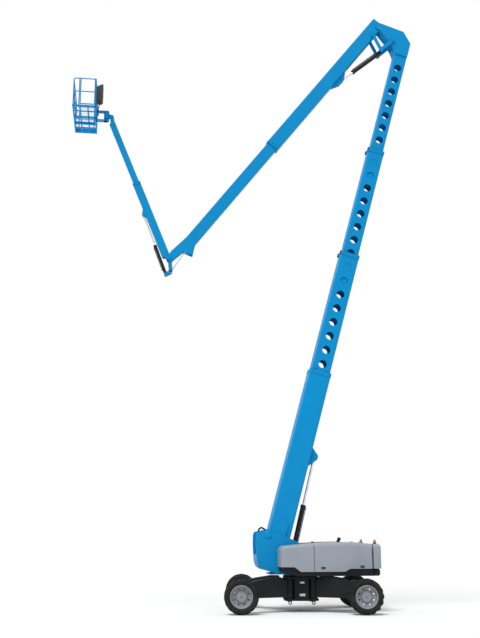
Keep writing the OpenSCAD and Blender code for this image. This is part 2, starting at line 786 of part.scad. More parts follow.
module link_outline(length, r) {
  circle(r = r);
  translate([length, 0]) circle(r = r);
  translate([0, -r * 0.8]) square([length, 1.6 * r]);
}

module knuckle_link_primary() {
  color(blue) at(joint_a, heading(joint_a, joint_j)) difference() {
    pair(link_a_in, link_a_in + link_t) link_outline(norm(joint_j - joint_a), 85);
    cross_pin([0, 0], knuckle_r + pin_gap, 2 * cheek_out);
  }
}

module knuckle_link_secondary() {
  color(blue) at(joint_b, heading(joint_b, joint_j)) difference() {
    pair(link_b_in, link_b_in + link_t) link_outline(norm(joint_j - joint_b), 85);
    cross_pin([0, 0], knuckle_r + pin_gap, 2 * cheek_out);
  }
}

// Jib
module jib_bellcrank() {
  color(blue) at(jib_pin, 0) {
    difference() {
      pair(crank_in, crank_out) union() {
        circle(r = 90);
        translate(crank_low) circle(r = 65);
        translate(crank_back) circle(r = 55);
        polygon([[-85, 0], crank_low + [-60, 0], crank_low + [20, -60], crank_back + [50, -30],
          crank_back + [55, 20], [85, 0]]);
      }
      cross_pin([0, 0], jib_pin_r + pin_gap, fork_out);
    }
    cross_pin(crank_low, small_pin_r, crank_out - 1);
    pin_heads(crank_back, small_pin_r + 8, 48, crank_in + cut);
  }
}

module jib_base() {
  face = jib_drop + jib_depth / 2;
  color(blue) at(jib_pin, jib_dir) {
    difference() {
      union() {
        box_tube(110, jib_end, jib_drop, jib_depth, jib_width, 24, 8);
        box_tube(jib_end - 70, jib_end, jib_drop, jib_depth + 16, jib_width + 16, 30, 16);
        slide_pads(jib_end, jib_drop, jib_depth - 16, jib_width - 16,
          (jib_depth - jib_tip_depth) / 2 - 8, (jib_width - jib_tip_width) / 2 - 8);
        pair(jib_width / 2 - 30, jib_width / 2) union() {
          circle(r = 80);
          polygon([[0, -80], [180, -20], [180, 200], [-60, 60]]);
        }
        pair(jib_rod_r + 10, jib_rod_r + 34) polygon([
          [jib_lug.x - 80, face - 4], [jib_lug.x + 260, face - 4], jib_lug + [60, 45], jib_lug + [-50, 45]]);
      }
      cross_pin([0, 0], jib_pin_r + pin_gap, jib_width);
    }
    pin_heads(jib_lug, small_pin_r + 8, jib_rod_r + 33, jib_rod_r + 44);
  }
}

module jib_tip() {
  color(blue) at(jib_pin, jib_dir) {
    box_tube(jib_tail, jib_length - 260, jib_drop, jib_tip_depth, jib_tip_width, 20, 8);
    pair(46, 46 + 26) union() {
      polygon([[jib_length - 330, jib_drop - 90], [jib_length, jib_tip_z - 70], [jib_length, jib_tip_z + 70],
        [jib_length - 330, jib_drop + 90]]);
      translate([jib_length, jib_tip_z]) circle(r = 70);
    }
    cross_pin([jib_length, jib_tip_z], small_pin_r, 74);
  }
}

module jib_barrel() {
  color(charcoal) at(crank_low_pin, heading(crank_low_pin, jib_eye))
    barrel(1200, jib_cyl_r, jib_rod_r, 2 * crank_in - 2 * face_gap, small_pin_r);
}

module jib_rod() {
  length = norm(jib_eye - crank_low_pin);
  color(steel) at(crank_low_pin, heading(crank_low_pin, jib_eye))
    rod(length - 1150, length, jib_rod_r, 2 * jib_rod_r + 18, small_pin_r);
}

module level_barrel() {
  color(charcoal) at(level_base, heading(level_base, crank_back_pin))
    barrel(1260, level_r, level_rod_r, 120, small_pin_r);
}

module level_rod() {
  length = norm(crank_back_pin - level_base);
  color(steel) at(level_base, heading(level_base, crank_back_pin))
    rod(length - 1150, length, level_rod_r, 80, small_pin_r);
}

// Platform
module platform_head() {
  color(charcoal) swung() {
    difference() {
      slab(-40, 40) union() {
        translate(tip_pin) circle(r = 65);
        polygon([tip_pin + [0, -65], tip_pin + [0, 65], [rotator_x, floor_z + 280], [rotator_x, floor_z + 60]]);
      }
      cross_pin(tip_pin, small_pin_r + pin_gap, 60);
      translate([rotator_x, 0, floor_z]) cylinder(r = 45 + pin_gap, h = 400);
    }
    translate([rotator_x, 0, floor_z + 40]) difference() {
      cylinder(r = 100, h = 260);
      translate([0, 0, -cut]) cylinder(r = 45 + pin_gap, h = 300);
    }
  }
}

module platform_floor() {
  color(blue) swung() {
    translate([rotator_x, 0, floor_z - 60]) cylinder(r = 45, h = 400);
    for (z = [floor_z - 60, floor_z + 306]) translate([rotator_x, 0, z]) cylinder(r = 100, h = 40);
    translate([inner_edge - 20, -100, floor_z - 60]) cube([rotator_gap + 20, 200, 40]);
    translate([inner_edge + 1, -100, floor_z + 306]) cube([rotator_gap - 1, 200, 40]);
    translate([inner_edge + 1, -100, floor_z - 60]) cube([40, 200, 406]);
    for (y = [-300, 240]) translate([outer_edge + 40, y, floor_z - 100]) cube([platform_d - 40, 60, 61]);
    translate([inner_edge - 80, -300, floor_z - 100]) cube([80, 600, 41]);
    difference() {
      translate([outer_edge, -half_w, floor_z - 40]) cube([platform_d, platform_w, 40]);
      translate([outer_edge + tube, -half_w + tube, floor_z - 40 - cut])
        cube([platform_d - 2 * tube, platform_w - 2 * tube, 40 + 2 * cut]);
    }
    for (i = [1 : 9]) translate([outer_edge + i * platform_d / 10 - 6, -half_w + tube - cut, floor_z - 36])
      cube([12, platform_w - 2 * tube + 2 * cut, 30]);
    for (i = [1 : 7]) translate([outer_edge + tube - cut, -half_w + i * platform_w / 8 - 4, floor_z - 34])
      cube([platform_d - 2 * tube + 2 * cut, 8, 26]);
  }
}

module platform_rails() {
  top = floor_z + rail_h;
  mid = floor_z + rail_h / 2;
  color(blue) swung() {
    for (z = [mid - tube / 2, top - tube]) {
      for (x = [outer_edge, inner_edge - tube]) translate([x, -half_w, z]) cube([tube, platform_w, tube]);
      translate([outer_edge, half_w - tube, z]) cube([platform_d, tube, tube]);
      translate([outer_edge, -half_w, z]) cube([platform_d - gate_w - tube, tube, tube]);
    }
    for (x = [outer_edge, inner_edge - tube], y = [-half_w, -half_w / 3, half_w / 3 - tube, half_w - tube])
      translate([x, y, floor_z]) cube([tube, tube, rail_h]);
    translate([inner_edge - gate_w - 2 * tube, -half_w, floor_z]) cube([tube, tube, rail_h]);
    for (x = [outer_edge + 14, inner_edge - 26]) translate([x, -half_w + tube, floor_z]) cube([12, platform_w - 2 * tube, 150]);
    translate([outer_edge + tube, half_w - 26, floor_z]) cube([platform_d - 2 * tube, 12, 150]);
    for (z = gate_eyes) {
      for (dz = [-10, gate_eye_h + 2]) translate([gate_axis.x, gate_axis.y, z + dz]) {
        cylinder(r = gate_eye_r, h = 8);
        translate([0, -gate_eye_r - cut, 0]) cube([face_gap + tube / 2, gate_eye_r + cut, 8]);
      }
      translate([gate_axis.x, gate_axis.y, z - 10]) cylinder(r = gate_pin_r, h = gate_eye_h + 20);
    }
  }
}

module platform_gate() {
  top = floor_z + rail_h;
  x0 = inner_edge - tube - gate_w + face_gap;
  w = gate_w - 2 * face_gap;
  color(blue) swung() {
    for (z = [floor_z + 30, floor_z + rail_h / 2, top - tube]) translate([x0, -half_w, z]) cube([w, tube, tube]);
    for (x = [x0, x0 + w - tube]) translate([x, -half_w, floor_z + 30]) cube([tube, tube, rail_h - 30]);
    for (z = gate_eyes) translate([gate_axis.x, gate_axis.y, z]) difference() {
      union() {
        cylinder(r = gate_eye_r, h = gate_eye_h);
        translate([-tube, -gate_eye_r - cut, 0]) cube([tube, gate_eye_r + cut, gate_eye_h]);
      }
      translate([0, 0, -cut]) cylinder(r = gate_pin_r + pin_gap, h = gate_eye_h + 2 * cut);
    }
  }
}

module platform_console() {
  color(charcoal) swung() translate([inner_edge - tube - 284, 150, floor_z + rail_h - 260]) difference() {
    cube([284, 420, 240]);
    translate([-cut, -cut, 140]) rotate([0, -25, 0]) cube([300, 500, 300]);
  }
}

chassis_frame();
axle_arm(-1, -1);  // axle_arm_front_left
axle_arm(-1, 1);  // axle_arm_front_right
axle_arm(1, -1);  // axle_arm_rear_left
axle_arm(1, 1);  // axle_arm_rear_right
steering_knuckle(-1, -1);  // steering_knuckle_front_left
steering_knuckle(-1, 1);  // steering_knuckle_front_right
steering_knuckle(1, -1);  // steering_knuckle_rear_left
steering_knuckle(1, 1);  // steering_knuckle_rear_right
tyre(-1, -1);  // tyre_front_left
tyre(-1, 1);  // tyre_front_right
tyre(1, -1);  // tyre_rear_left
tyre(1, 1);  // tyre_rear_right
wheel_rim(-1, -1);  // wheel_rim_front_left
wheel_rim(-1, 1);  // wheel_rim_front_right
wheel_rim(1, -1);  // wheel_rim_rear_left
wheel_rim(1, 1);  // wheel_rim_rear_right
turntable_riser();
turntable_deck();
counterweight();
engine_and_tanks();
front_covers();
engine_cover(1);  // engine_cover_left
engine_cover(0);  // engine_cover_right
tail_fittings();
primary_base();
primary_second();
primary_third();
primary_tip();
primary_lift_barrel();
primary_lift_rod();
secondary_base();
secondary_tip();
secondary_barrel();
secondary_rod();
knuckle_link_primary();
knuckle_link_secondary();
jib_bellcrank();
jib_base();
jib_tip();
jib_barrel();
jib_rod();
level_barrel();
level_rod();
platform_head();
platform_floor();
platform_rails();
platform_gate();
platform_console();
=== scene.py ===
"""Looks of an articulating boom lift: finishes, tyres, covers, platform, fittings, studio and camera."""
import json
import math

import bmesh
import bpy
import numpy as np
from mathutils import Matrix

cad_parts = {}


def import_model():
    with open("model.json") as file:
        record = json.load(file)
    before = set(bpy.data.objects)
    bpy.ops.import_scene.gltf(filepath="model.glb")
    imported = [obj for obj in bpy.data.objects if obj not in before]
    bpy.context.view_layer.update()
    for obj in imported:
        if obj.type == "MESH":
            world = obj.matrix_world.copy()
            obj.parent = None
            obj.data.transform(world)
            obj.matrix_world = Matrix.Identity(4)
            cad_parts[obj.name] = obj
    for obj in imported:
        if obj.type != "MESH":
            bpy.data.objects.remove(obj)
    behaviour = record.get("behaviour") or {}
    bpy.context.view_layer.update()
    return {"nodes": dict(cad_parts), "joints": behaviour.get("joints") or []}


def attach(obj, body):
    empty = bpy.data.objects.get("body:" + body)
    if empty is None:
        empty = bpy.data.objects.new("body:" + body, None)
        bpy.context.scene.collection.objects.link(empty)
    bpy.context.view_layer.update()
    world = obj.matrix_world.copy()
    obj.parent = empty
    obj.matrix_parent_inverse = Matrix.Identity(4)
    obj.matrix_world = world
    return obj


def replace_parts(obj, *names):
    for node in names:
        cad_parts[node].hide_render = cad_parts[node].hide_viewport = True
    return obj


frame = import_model()
joints = {j["name"]: j for j in frame["joints"]}
nodes = frame["nodes"]
CORNERS = ("front_left", "front_right", "rear_left", "rear_right")


# Frames of the machine


def unit(v):
    """A vector divided by its length."""
    v = np.asarray(v, float)
    return v / np.linalg.norm(v)


def place(origin, along, across):
    """A local frame: its origin, and its axes x, y and z as rows, with z square to the other two."""
    x, y = unit(along), unit(across)
    return np.array(origin, float), np.array([x, y, np.cross(x, y)])


def world(points, at):
    """Points of a local frame in the machine's frame: origin plus coordinates times axes."""
    return at[0] + np.asarray(points, float) @ at[1]


def local(points, at):
    """Points of the machine's frame in a local frame."""
    return (np.asarray(points, float) - at[0]) @ at[1].T


def points_of(solid, at):
    """A solid's points in a local frame."""
    mesh = nodes[solid].data
    co = np.empty(len(mesh.vertices) * 3, np.float32)
    mesh.vertices.foreach_get("co", co)
    return local(co.reshape(-1, 3), at)


def span(solid, at):
    """Lowest and highest corner of a solid in a local frame."""
    p = points_of(solid, at)
    return p.min(0), p.max(0)


def half_width(solid, at, x0, x1):
    """Largest sideways reach of a solid between two places along its frame."""
    p = points_of(solid, at)
    return np.abs(p[(p[:, 0] >= x0) & (p[:, 0] <= x1), 1]).max()


def face_height(solid, at, r0, r1):
    """Highest point of a solid between two radii about its frame's z."""
    p = points_of(solid, at)
    r = np.hypot(p[:, 0], p[:, 1])
    return p[(r >= r0) & (r <= r1), 2].max()


def pos(joint):
    """A joint's point at rest."""
    return np.array(joints[joint]["pos_m"], float)


def axis(joint):
    """A joint's direction at rest."""
    return unit(joints[joint]["axis"])


UP = np.array([0.0, 0.0, 1.0])
SLANT = np.array([0.31, 0.83, 0.47])
SIDE = -axis("primary_lift")
BACK = np.cross(SIDE, UP)
deck = place((0, 0, 0), BACK, SIDE)
primary = place(pos("primary_lift"), axis("primary_extend"), SIDE)
secondary = place(pos("secondary_lift"), axis("secondary_extend"), SIDE)
jib = place(pos("jib_lift"), axis("jib_extend"), SIDE)
platform = place(pos("platform_rotate"), BACK, SIDE)


def side_place(at, sign):
    """A frame on a boom's side: x along the boom, y as its z, and z outwards along its y."""
    return place(at[0], -sign * at[1][0], at[1][2])


def turn_place(point, along):
    """A frame whose z runs along an axis that is square to the machine's side direction."""
    return place(point, SIDE, np.cross(along, SIDE))


def wheel_place(corner):
    """A wheel's frame: x along the machine, z outwards along the axle."""
    out = -1.0 if corner.endswith("left") else 1.0
    return place(pos(f"wheel_spin_{corner}"), (-out, 0, 0), (0, 0, 1))


# Surfaces


def skin(points, close_u=False, close_v=False):
    """Quads over a grid of points; a closed direction joins its last line to its first."""
    rows, cols = points.shape[:2]
    i = np.arange(rows if close_u else rows - 1)
    j = np.arange(cols if close_v else cols - 1)
    a, b = np.meshgrid(i, j, indexing="ij")
    c, d = (a + 1) % rows, (b + 1) % cols
    quads = np.stack([a * cols + b, c * cols + b, c * cols + d, a * cols + d], -1)
    return points.reshape(-1, 3), quads.reshape(-1, 4).tolist()


def lathe(profile, at, steps=64):
    """A profile of radius and height turned about the frame's z: (r cos t, r sin t, h)."""
    profile = np.asarray(profile, float)
    t = np.linspace(0, 2 * np.pi, steps, endpoint=False)[:, None]
    r, h = profile[:, 0][None], profile[:, 1][None]
    grid = np.stack([r * np.cos(t), r * np.sin(t), h + 0 * t], -1)
    return skin(world(grid, at), close_u=True)


def loft(sections):
    """Closed sections joined one after another, with both ends filled."""
    verts, faces = skin(sections, close_v=True)
    n = sections.shape[1]
    return verts, faces + [list(range(n))[::-1], list(range(len(verts) - n, len(verts)))]


def sweep(profile, path, up=UP):
    """A closed profile carried along a path: each ring is the path point plus the profile on the side and
    top vectors, which are square to the path's own direction."""
    path = np.asarray(path, float)
    profile = np.asarray(profile, float)
    run = np.gradient(path, axis=0)
    run /= np.linalg.norm(run, axis=1, keepdims=True)
    side = np.cross(up, run)
    side /= np.linalg.norm(side, axis=1, keepdims=True)
    top = np.cross(run, side)
    grid = path[:, None] + profile[None, :, :1] * side[:, None] + profile[None, :, 1:] * top[:, None]
    return loft(grid)


def prism(outline, y0, y1, at):
    """A flat outline of x and z given a thickness along y."""
    outline = np.asarray(outline, float)
    flat = np.stack([outline[:, 0], 0 * outline[:, 0], outline[:, 1]], -1)
    return loft(world(np.stack([flat + (0, y0, 0), flat + (0, y1, 0)]), at))


def strap(a, b, r, y0, y1, at):
    """A bar with round ends: half a circle about each pin, joined by straight sides."""
    a, b = np.asarray(a, float), np.asarray(b, float)
    t = np.linspace(np.pi / 2, 1.5 * np.pi, 13) + math.atan2(*(b - a)[::-1])
    end = r * np.stack([np.cos(t), np.sin(t)], -1)
    return prism(np.vstack([a + end, b - end]), y0, y1, at)


def bent(points, r, steps=7):
    """A path along straight runs whose square corners are quarter circles."""
    p = np.asarray(points, float)
    t = np.linspace(0, np.pi / 2, steps)[:, None]
    a, b = p[:-2] - p[1:-1], p[2:] - p[1:-1]
    a /= np.linalg.norm(a, axis=1, keepdims=True)
    b /= np.linalg.norm(b, axis=1, keepdims=True)
    arcs = p[1:-1, None] + r * (a[:, None] * (1 - np.sin(t)) + b[:, None] * (1 - np.cos(t)))
    return np.vstack([p[:1], arcs.reshape(-1, 3), p[-1:]])


def ring(radius, count=12):
    """A circle's points: (r cos t, r sin t)."""
    t = np.linspace(0, 2 * np.pi, count, endpoint=False)
    return radius * np.stack([np.cos(t), np.sin(t)], -1)


def flow(points, per_span=8):
    """A smooth curve through points: on each span the cubic with the slopes of the neighbouring chords."""
    p = np.asarray(points, float)
    p = np.vstack([2 * p[0] - p[1], p, 2 * p[-1] - p[-2]])
    t = np.linspace(0, 1, per_span, endpoint=False)[None, :, None]
    a, b, c, d = (p[k:len(p) - 3 + k][:, None] for k in range(4))
    square, cube = 2 * a - 5 * b + 4 * c - d, 3 * b - a - 3 * c + d
    curve = 0.5 * (2 * b + (c - a) * t + square * t ** 2 + cube * t ** 3)
    return np.vstack([curve.reshape(-1, 3), p[-2]])


def spread(faces, copies):
    """One part repeated: its faces, and its points once for each place."""
    count = copies.shape[1]
    return copies.reshape(-1, 3), [[i + k * count for i in f] for k in range(len(copies)) for f in faces]


def blocks(centres, sizes, at, bevel=0.004):
    """Boxes with chamfered edges: each corner is three points, one on each of its faces."""
    centres, sizes = np.atleast_2d(centres).astype(float), np.atleast_2d(sizes).astype(float)
    centres, sizes = np.broadcast_arrays(centres, sizes)
    signs = np.array([[sx, sy, sz] for sx in (-1, 1) for sy in (-1, 1) for sz in (-1, 1)], float)
    inset = 1 - np.eye(3)
    corners = signs[None, :, None] * (sizes[:, None, None] / 2 - bevel * inset[None, None])
    verts = (centres[:, None, None] + corners).reshape(len(centres), -1, 3)
    idx = lambda sx, sy, sz, k: ((sx * 2 + sy) * 2 + sz) * 3 + k
    faces = []
    for s in (0, 1):
        faces += [[idx(s, 0, 0, 0), idx(s, 1, 0, 0), idx(s, 1, 1, 0), idx(s, 0, 1, 0)]]
        faces += [[idx(0, s, 0, 1), idx(1, s, 0, 1), idx(1, s, 1, 1), idx(0, s, 1, 1)]]
        faces += [[idx(0, 0, s, 2), idx(1, 0, s, 2), idx(1, 1, s, 2), idx(0, 1, s, 2)]]
        for r in (0, 1):
            faces += [[idx(0, s, r, 1), idx(1, s, r, 1), idx(1, s, r, 2), idx(0, s, r, 2)]]
            faces += [[idx(s, 0, r, 0), idx(s, 1, r, 0), idx(s, 1, r, 2), idx(s, 0, r, 2)]]
            faces += [[idx(s, r, 0, 0), idx(s, r, 1, 0), idx(s, r, 1, 1), idx(s, r, 0, 1)]]
            faces += [[idx(s, r, q, k) for k in (0, 1, 2)] for q in (0, 1)]
    return spread(faces, world(verts, at))


def bolts(points, at, radius, height, sides=6):
    """Bolt heads along the frame's z: a profile of washer and chamfered head turned in a few steps, then
    repeated at each point."""
    r = radius * np.array([0, 1.5, 1.5, 1.0, 1.0, 0.86, 0.0])
    h = height * np.array([-0.1, -0.1, 0.22, 0.22, 0.86, 1.0, 1.0])
    t = np.linspace(0, 2 * np.pi, sides, endpoint=False)[:, None]
    one = np.stack([r * np.cos(t), r * np.sin(t), h + 0 * t], -1)
    verts, quads = skin(one, close_u=True)
    return spread(quads, world(np.atleast_2d(points)[:, None] + verts, at))


def around(radius, count, height=0.0, start=0.0):
    """Points on a circle in a frame's x and y, at one height."""
    t = start + np.linspace(0, 2 * np.pi, count, endpoint=False)
    return np.stack([radius * np.cos(t), radius * np.sin(t), height + 0 * t], -1)


def tube(points, radius, per_span=8, count=12):
    """A round tube along a smooth curve through points; its rings start from a direction that is square to
    the line between its ends."""
    path = flow(points, per_span)
    up = np.cross(path[-1] - path[0], SLANT)
    return sweep(ring(radius, count), path, unit(up))


def rod(a, b, r, at, count=16, up=UP):
    """A straight round rod between two points of a local frame."""
    return sweep(ring(r, count), world([a, b], at), up)


def show(label, data):
    """An object for data, linked to the scene."""
    made = bpy.data.objects.new(label, data)
    bpy.context.scene.collection.objects.link(made)
    return made


def piece(name, parts, body, material, smooth=30):
    """Joins parts of points and faces into one mesh that rides on a body."""
    starts = np.cumsum([0] + [len(v) for v, _ in parts])
    verts = np.vstack([v for v, _ in parts])
    faces = [[i + int(s) for i in f] for s, (_, fs) in zip(starts, parts) for f in fs]
    mesh = bpy.data.meshes.new(name)
    mesh.from_pydata(verts.tolist(), [], faces)
    bm = bmesh.new()
    bm.from_mesh(mesh)
    bmesh.ops.remove_doubles(bm, verts=bm.verts, dist=1e-5)
    bmesh.ops.recalc_face_normals(bm, faces=bm.faces)
    bm.to_mesh(mesh)
    bm.free()
    mesh.materials.append(material)
    mesh.shade_smooth()
    mesh.set_sharp_from_angle(angle=math.radians(smooth))
    obj = show(name, mesh)
    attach(obj, body)
    return obj


# Effects that materials share


def effect(name, inputs, outputs):
    """An empty node group with float or colour sockets, and its input and output nodes."""
    group = bpy.data.node_groups.new(name, "ShaderNodeTree")
    for label, kind, value in inputs:
        socket = group.interface.new_socket(label, in_out="INPUT", socket_type=kind)
        socket.default_value = value
    for label, kind in outputs:
        group.interface.new_socket(label, in_out="OUTPUT", socket_type=kind)
    return group, group.nodes.new("NodeGroupInput"), group.nodes.new("NodeGroupOutput")


def node(tree, kind, links=(), **settings):
    """A node with its settings; links name an input and give a socket or a plain value."""
    made = tree.nodes.new(kind)
    for key, value in settings.items():
        setattr(made, key, value)
    for key, value in links:
        if isinstance(value, bpy.types.NodeSocket):
            tree.links.new(value, made.inputs[key])
        else:
            made.inputs[key].default_value = value
    return made


def noise(tree, scale, detail=3.0, stretch=None):
    """Noise on Object coordinates, stretched along the axes where asked."""
    coord = node(tree, "ShaderNodeTexCoord").outputs["Object"]
    if stretch is not None:
        coord = node(tree, "ShaderNodeMapping", [("Vector", coord), ("Scale", stretch)]).outputs["Vector"]
    made = node(tree, "ShaderNodeTexNoise", [("Vector", coord), ("Scale", scale), ("Detail", detail)])
    return made.outputs["Fac"]


def ramp(tree, value, low, high, to_low=0.0, to_high=1.0):
    """A value mapped smoothly from one range to another and held at its ends."""
    made = node(tree, "ShaderNodeMapRange", [("Value", value), ("From Min", low), ("From Max", high),
                ("To Min", to_low), ("To Max", to_high)], interpolation_type="SMOOTHSTEP")
    return made.outputs["Result"]


def mix(tree, amount, a, b):
    """Colour a turned into colour b by an amount."""
    return node(tree, "ShaderNodeMix", [(0, amount), (6, a), (7, b)], data_type="RGBA").outputs[2]


def math_node(tree, operation, a, b):
    """One arithmetic step."""
    return node(tree, "ShaderNodeMath", [(0, a), (1, b)], operation=operation).outputs[0]


def make_film():
    """Sprayed paint: a broad drift of tone, a fine ripple of the surface and a little haze."""
    group, into, out = effect("sprayed_film",
        [("Colour", "NodeSocketColor", (0.5, 0.5, 0.5, 1)), ("Drift", "NodeSocketFloat", 0.1),
         ("Roughness", "NodeSocketFloat", 0.3)],
        [("Colour", "NodeSocketColor"), ("Roughness", "NodeSocketFloat"), ("Height", "NodeSocketFloat")])
    broad = ramp(group, noise(group, 0.9, 4.0), 0.3, 0.7)
    shade = math_node(group, "MULTIPLY", broad, into.outputs["Drift"])
    dark = mix(group, 1.0, into.outputs["Colour"], (0.02, 0.03, 0.04, 1))
    group.links.new(mix(group, shade, into.outputs["Colour"], dark), out.inputs["Colour"])
    haze = ramp(group, noise(group, 7.0, 5.0), 0.35, 0.75, -0.04, 0.08)
    group.links.new(math_node(group, "ADD", into.outputs["Roughness"], haze), out.inputs["Roughness"])
    group.links.new(noise(group, 160.0, 2.0), out.inputs["Height"])
    return group


def make_dust():
    """Road dust: thick near the ground, thinning with height, broken up by two sizes of noise."""
    group, into, out = effect("road_dust",
        [("Amount", "NodeSocketFloat", 0.5), ("Reach", "NodeSocketFloat", 1.0)],
        [("Mask", "NodeSocketFloat")])
    coord = node(group, "ShaderNodeTexCoord").outputs["Object"]
    height = node(group, "ShaderNodeSeparateXYZ", [("Vector", coord)]).outputs["Z"]
    share = math_node(group, "DIVIDE", height, into.outputs["Reach"])
    low = ramp(group, share, 0.0, 1.0, 1.0, 0.0)
    patch = ramp(group, noise(group, 2.3, 6.0), 0.36, 0.68)
    speck = ramp(group, noise(group, 38.0, 4.0), 0.4, 0.7, 0.5, 1.0)
    mask = math_node(group, "MULTIPLY", math_node(group, "MULTIPLY", low, patch), speck)
    group.links.new(math_node(group, "MULTIPLY", mask, into.outputs["Amount"]), out.inputs["Mask"])
    return group


def make_scuffs():
    """Rubbed marks: thin streaks where a long stretched noise and a patchy noise are both high."""
    group, into, out = effect("scuffs", [("Amount", "NodeSocketFloat", 0.3)], [("Mask", "NodeSocketFloat")])
    streak = ramp(group, noise(group, 30.0, 6.0, (1.0, 0.12, 0.25)), 0.6, 0.72)
    patch = ramp(group, noise(group, 1.4, 3.0), 0.5, 0.72)
    mask = math_node(group, "MULTIPLY", streak, patch)
    group.links.new(math_node(group, "MULTIPLY", mask, into.outputs["Amount"]), out.inputs["Mask"])
    return group


FILM, DUST, SCUFFS = make_film(), make_dust(), make_scuffs()
DUST_COLOUR = (0.36, 0.31, 0.25, 1)


# Finishes


def finish(name, **sockets):
    """A material with one Principled shader, its plain values on the shader's own sockets."""
    made = bpy.data.materials.new(name)
    made.use_nodes = True
    shader = made.node_tree.nodes["Principled BSDF"]
    for key, value in sockets.items():
        shader.inputs[key.replace("_", " ")].default_value = value
    return made, made.node_tree, shader


def bump(tree, shader, height, strength, distance):
    """A height that tilts the shader's normal."""
    made = node(tree, "ShaderNodeBump",
                [("Height", height), ("Strength", strength), ("Distance", distance)])
    tree.links.new(made.outputs["Normal"], shader.inputs["Normal"])


def use(tree, group, **values):
    """A shared effect placed in a material."""
    return node(tree, "ShaderNodeGroup", values.items(), node_tree=group).outputs


def paint(name, colour, roughness, drift, scuff=0.1, coat=0.1, gloss=0.4, dust=0.0, reach=1.5):
    """Sprayed paint over steel, with scuffs and with dust towards the ground."""
    made, tree, shader = finish(name, Coat_Weight=coat, Coat_Roughness=0.12, Specular_IOR_Level=gloss)
    film = use(tree, FILM, Colour=(*colour, 1), Drift=drift, Roughness=roughness)
    marks = use(tree, SCUFFS, Amount=scuff)["Mask"]
    pale = tuple(0.55 * c + 0.28 for c in colour)
    tone = mix(tree, marks, film["Colour"], (*pale, 1))
    rough = math_node(tree, "ADD", film["Roughness"], math_node(tree, "MULTIPLY", marks, 0.25))
    if dust:
        mask = use(tree, DUST, Amount=dust, Reach=reach)["Mask"]
        tone = mix(tree, mask, tone, DUST_COLOUR)
        rough = math_node(tree, "ADD", rough, math_node(tree, "MULTIPLY", mask, 0.5))
    tree.links.new(tone, shader.inputs["Base Color"])
    tree.links.new(rough, shader.inputs["Roughness"])
    bump(tree, shader, film["Height"], 0.1, 0.0006)
    return made


def chrome_finish(name):
    """Hard chrome on a cylinder rod: honed rings and a thin smear of oil."""
    made, tree, shader = finish(name, Metallic=1.0)
    smear = ramp(tree, noise(tree, 6.0, 5.0), 0.35, 0.75, 0.06, 0.2)
    cloud = ramp(tree, noise(tree, 3.0, 2.0), 0.4, 0.7)
    tint = mix(tree, cloud, (0.78, 0.79, 0.81, 1), (0.66, 0.66, 0.66, 1))
    tree.links.new(tint, shader.inputs["Base Color"])
    tree.links.new(smear, shader.inputs["Roughness"])
    bump(tree, shader, noise(tree, 700.0, 1.0), 0.05, 0.0002)
    return made


def rubber_finish(name, colour, dust=0.6, reach=1.2, grain=60.0):
    """Rubber: matt, faintly bloomed, grained, and dusty where it meets the ground."""
    made, tree, shader = finish(name, Specular_IOR_Level=0.12)
    bloom = ramp(tree, noise(tree, 4.0, 6.0), 0.35, 0.75)
    tone = mix(tree, bloom, (*colour, 1), (*(1.7 * c + 0.008 for c in colour), 1))
    mask = use(tree, DUST, Amount=dust, Reach=reach)["Mask"]
    tree.links.new(mix(tree, mask, tone, DUST_COLOUR), shader.inputs["Base Color"])
    tree.links.new(ramp(tree, bloom, 0.0, 1.0, 0.62, 0.86), shader.inputs["Roughness"])
    bump(tree, shader, noise(tree, grain, 6.0), 0.25, 0.0015)
    return made


def metal_finish(name, colour, roughness=0.35):
    """Plated metal: mottled tone and fine grain."""
    made, tree, shader = finish(name, Metallic=1.0)
    spots = ramp(tree, noise(tree, 26.0, 6.0), 0.35, 0.7)
    dark = tuple(0.7 * c for c in colour)
    tree.links.new(mix(tree, spots, (*colour, 1), (*dark, 1)), shader.inputs["Base Color"])
    tree.links.new(ramp(tree, spots, 0.0, 1.0, roughness, roughness + 0.2), shader.inputs["Roughness"])
    bump(tree, shader, noise(tree, 240.0, 3.0), 0.12, 0.0006)
    return made


def moulded_finish(name, colour, roughness=0.45, grain=420.0):
    """Moulded plastic: a fine leather-like grain and a slight change of gloss."""
    made, tree, shader = finish(name)
    drift = ramp(tree, noise(tree, 9.0, 4.0), 0.3, 0.7)
    dark = tuple(0.8 * c for c in colour)
    tree.links.new(mix(tree, drift, (*colour, 1), (*dark, 1)), shader.inputs["Base Color"])
    tree.links.new(ramp(tree, drift, 0.0, 1.0, roughness, roughness + 0.15), shader.inputs["Roughness"])
    bump(tree, shader, noise(tree, grain, 2.0), 0.2, 0.0005)
    return made


blue = paint("boom_blue", (0.0, 0.283, 0.63), 0.45, 0.08, scuff=0.05, coat=0.03, gloss=0.12)
grey = paint("cover_grey", (0.31, 0.345, 0.395), 0.42, 0.08, scuff=0.06, gloss=0.3, dust=0.04, reach=2.6)
charcoal = paint("frame_charcoal", (0.009, 0.010, 0.012), 0.5, 0.2, coat=0.0, gloss=0.14, dust=0.03)
rim_grey = paint("rim_grey", (0.268, 0.285, 0.312), 0.42, 0.12, gloss=0.3, dust=0.04, reach=1.2)
black_paint = paint("barrel_black", (0.008, 0.009, 0.010), 0.38, 0.2, coat=0.05, gloss=0.2)
cast_iron = paint("casting_charcoal", (0.03, 0.033, 0.037), 0.5, 0.25, coat=0.05, dust=0.1, reach=2.4)
chrome = chrome_finish("rod_chrome")
tyre_rubber = rubber_finish("tyre_rubber", (0.010, 0.011, 0.011), dust=0.05)
hose_rubber = rubber_finish("hose_rubber", (0.012, 0.012, 0.013), dust=0.0, grain=300.0)
zinc = metal_finish("zinc_bolts", (0.62, 0.62, 0.6))
black_plastic = moulded_finish("black_plastic", (0.02, 0.021, 0.023))
plate_white = moulded_finish("blank_plate", (0.72, 0.73, 0.74), roughness=0.35, grain=60.0)
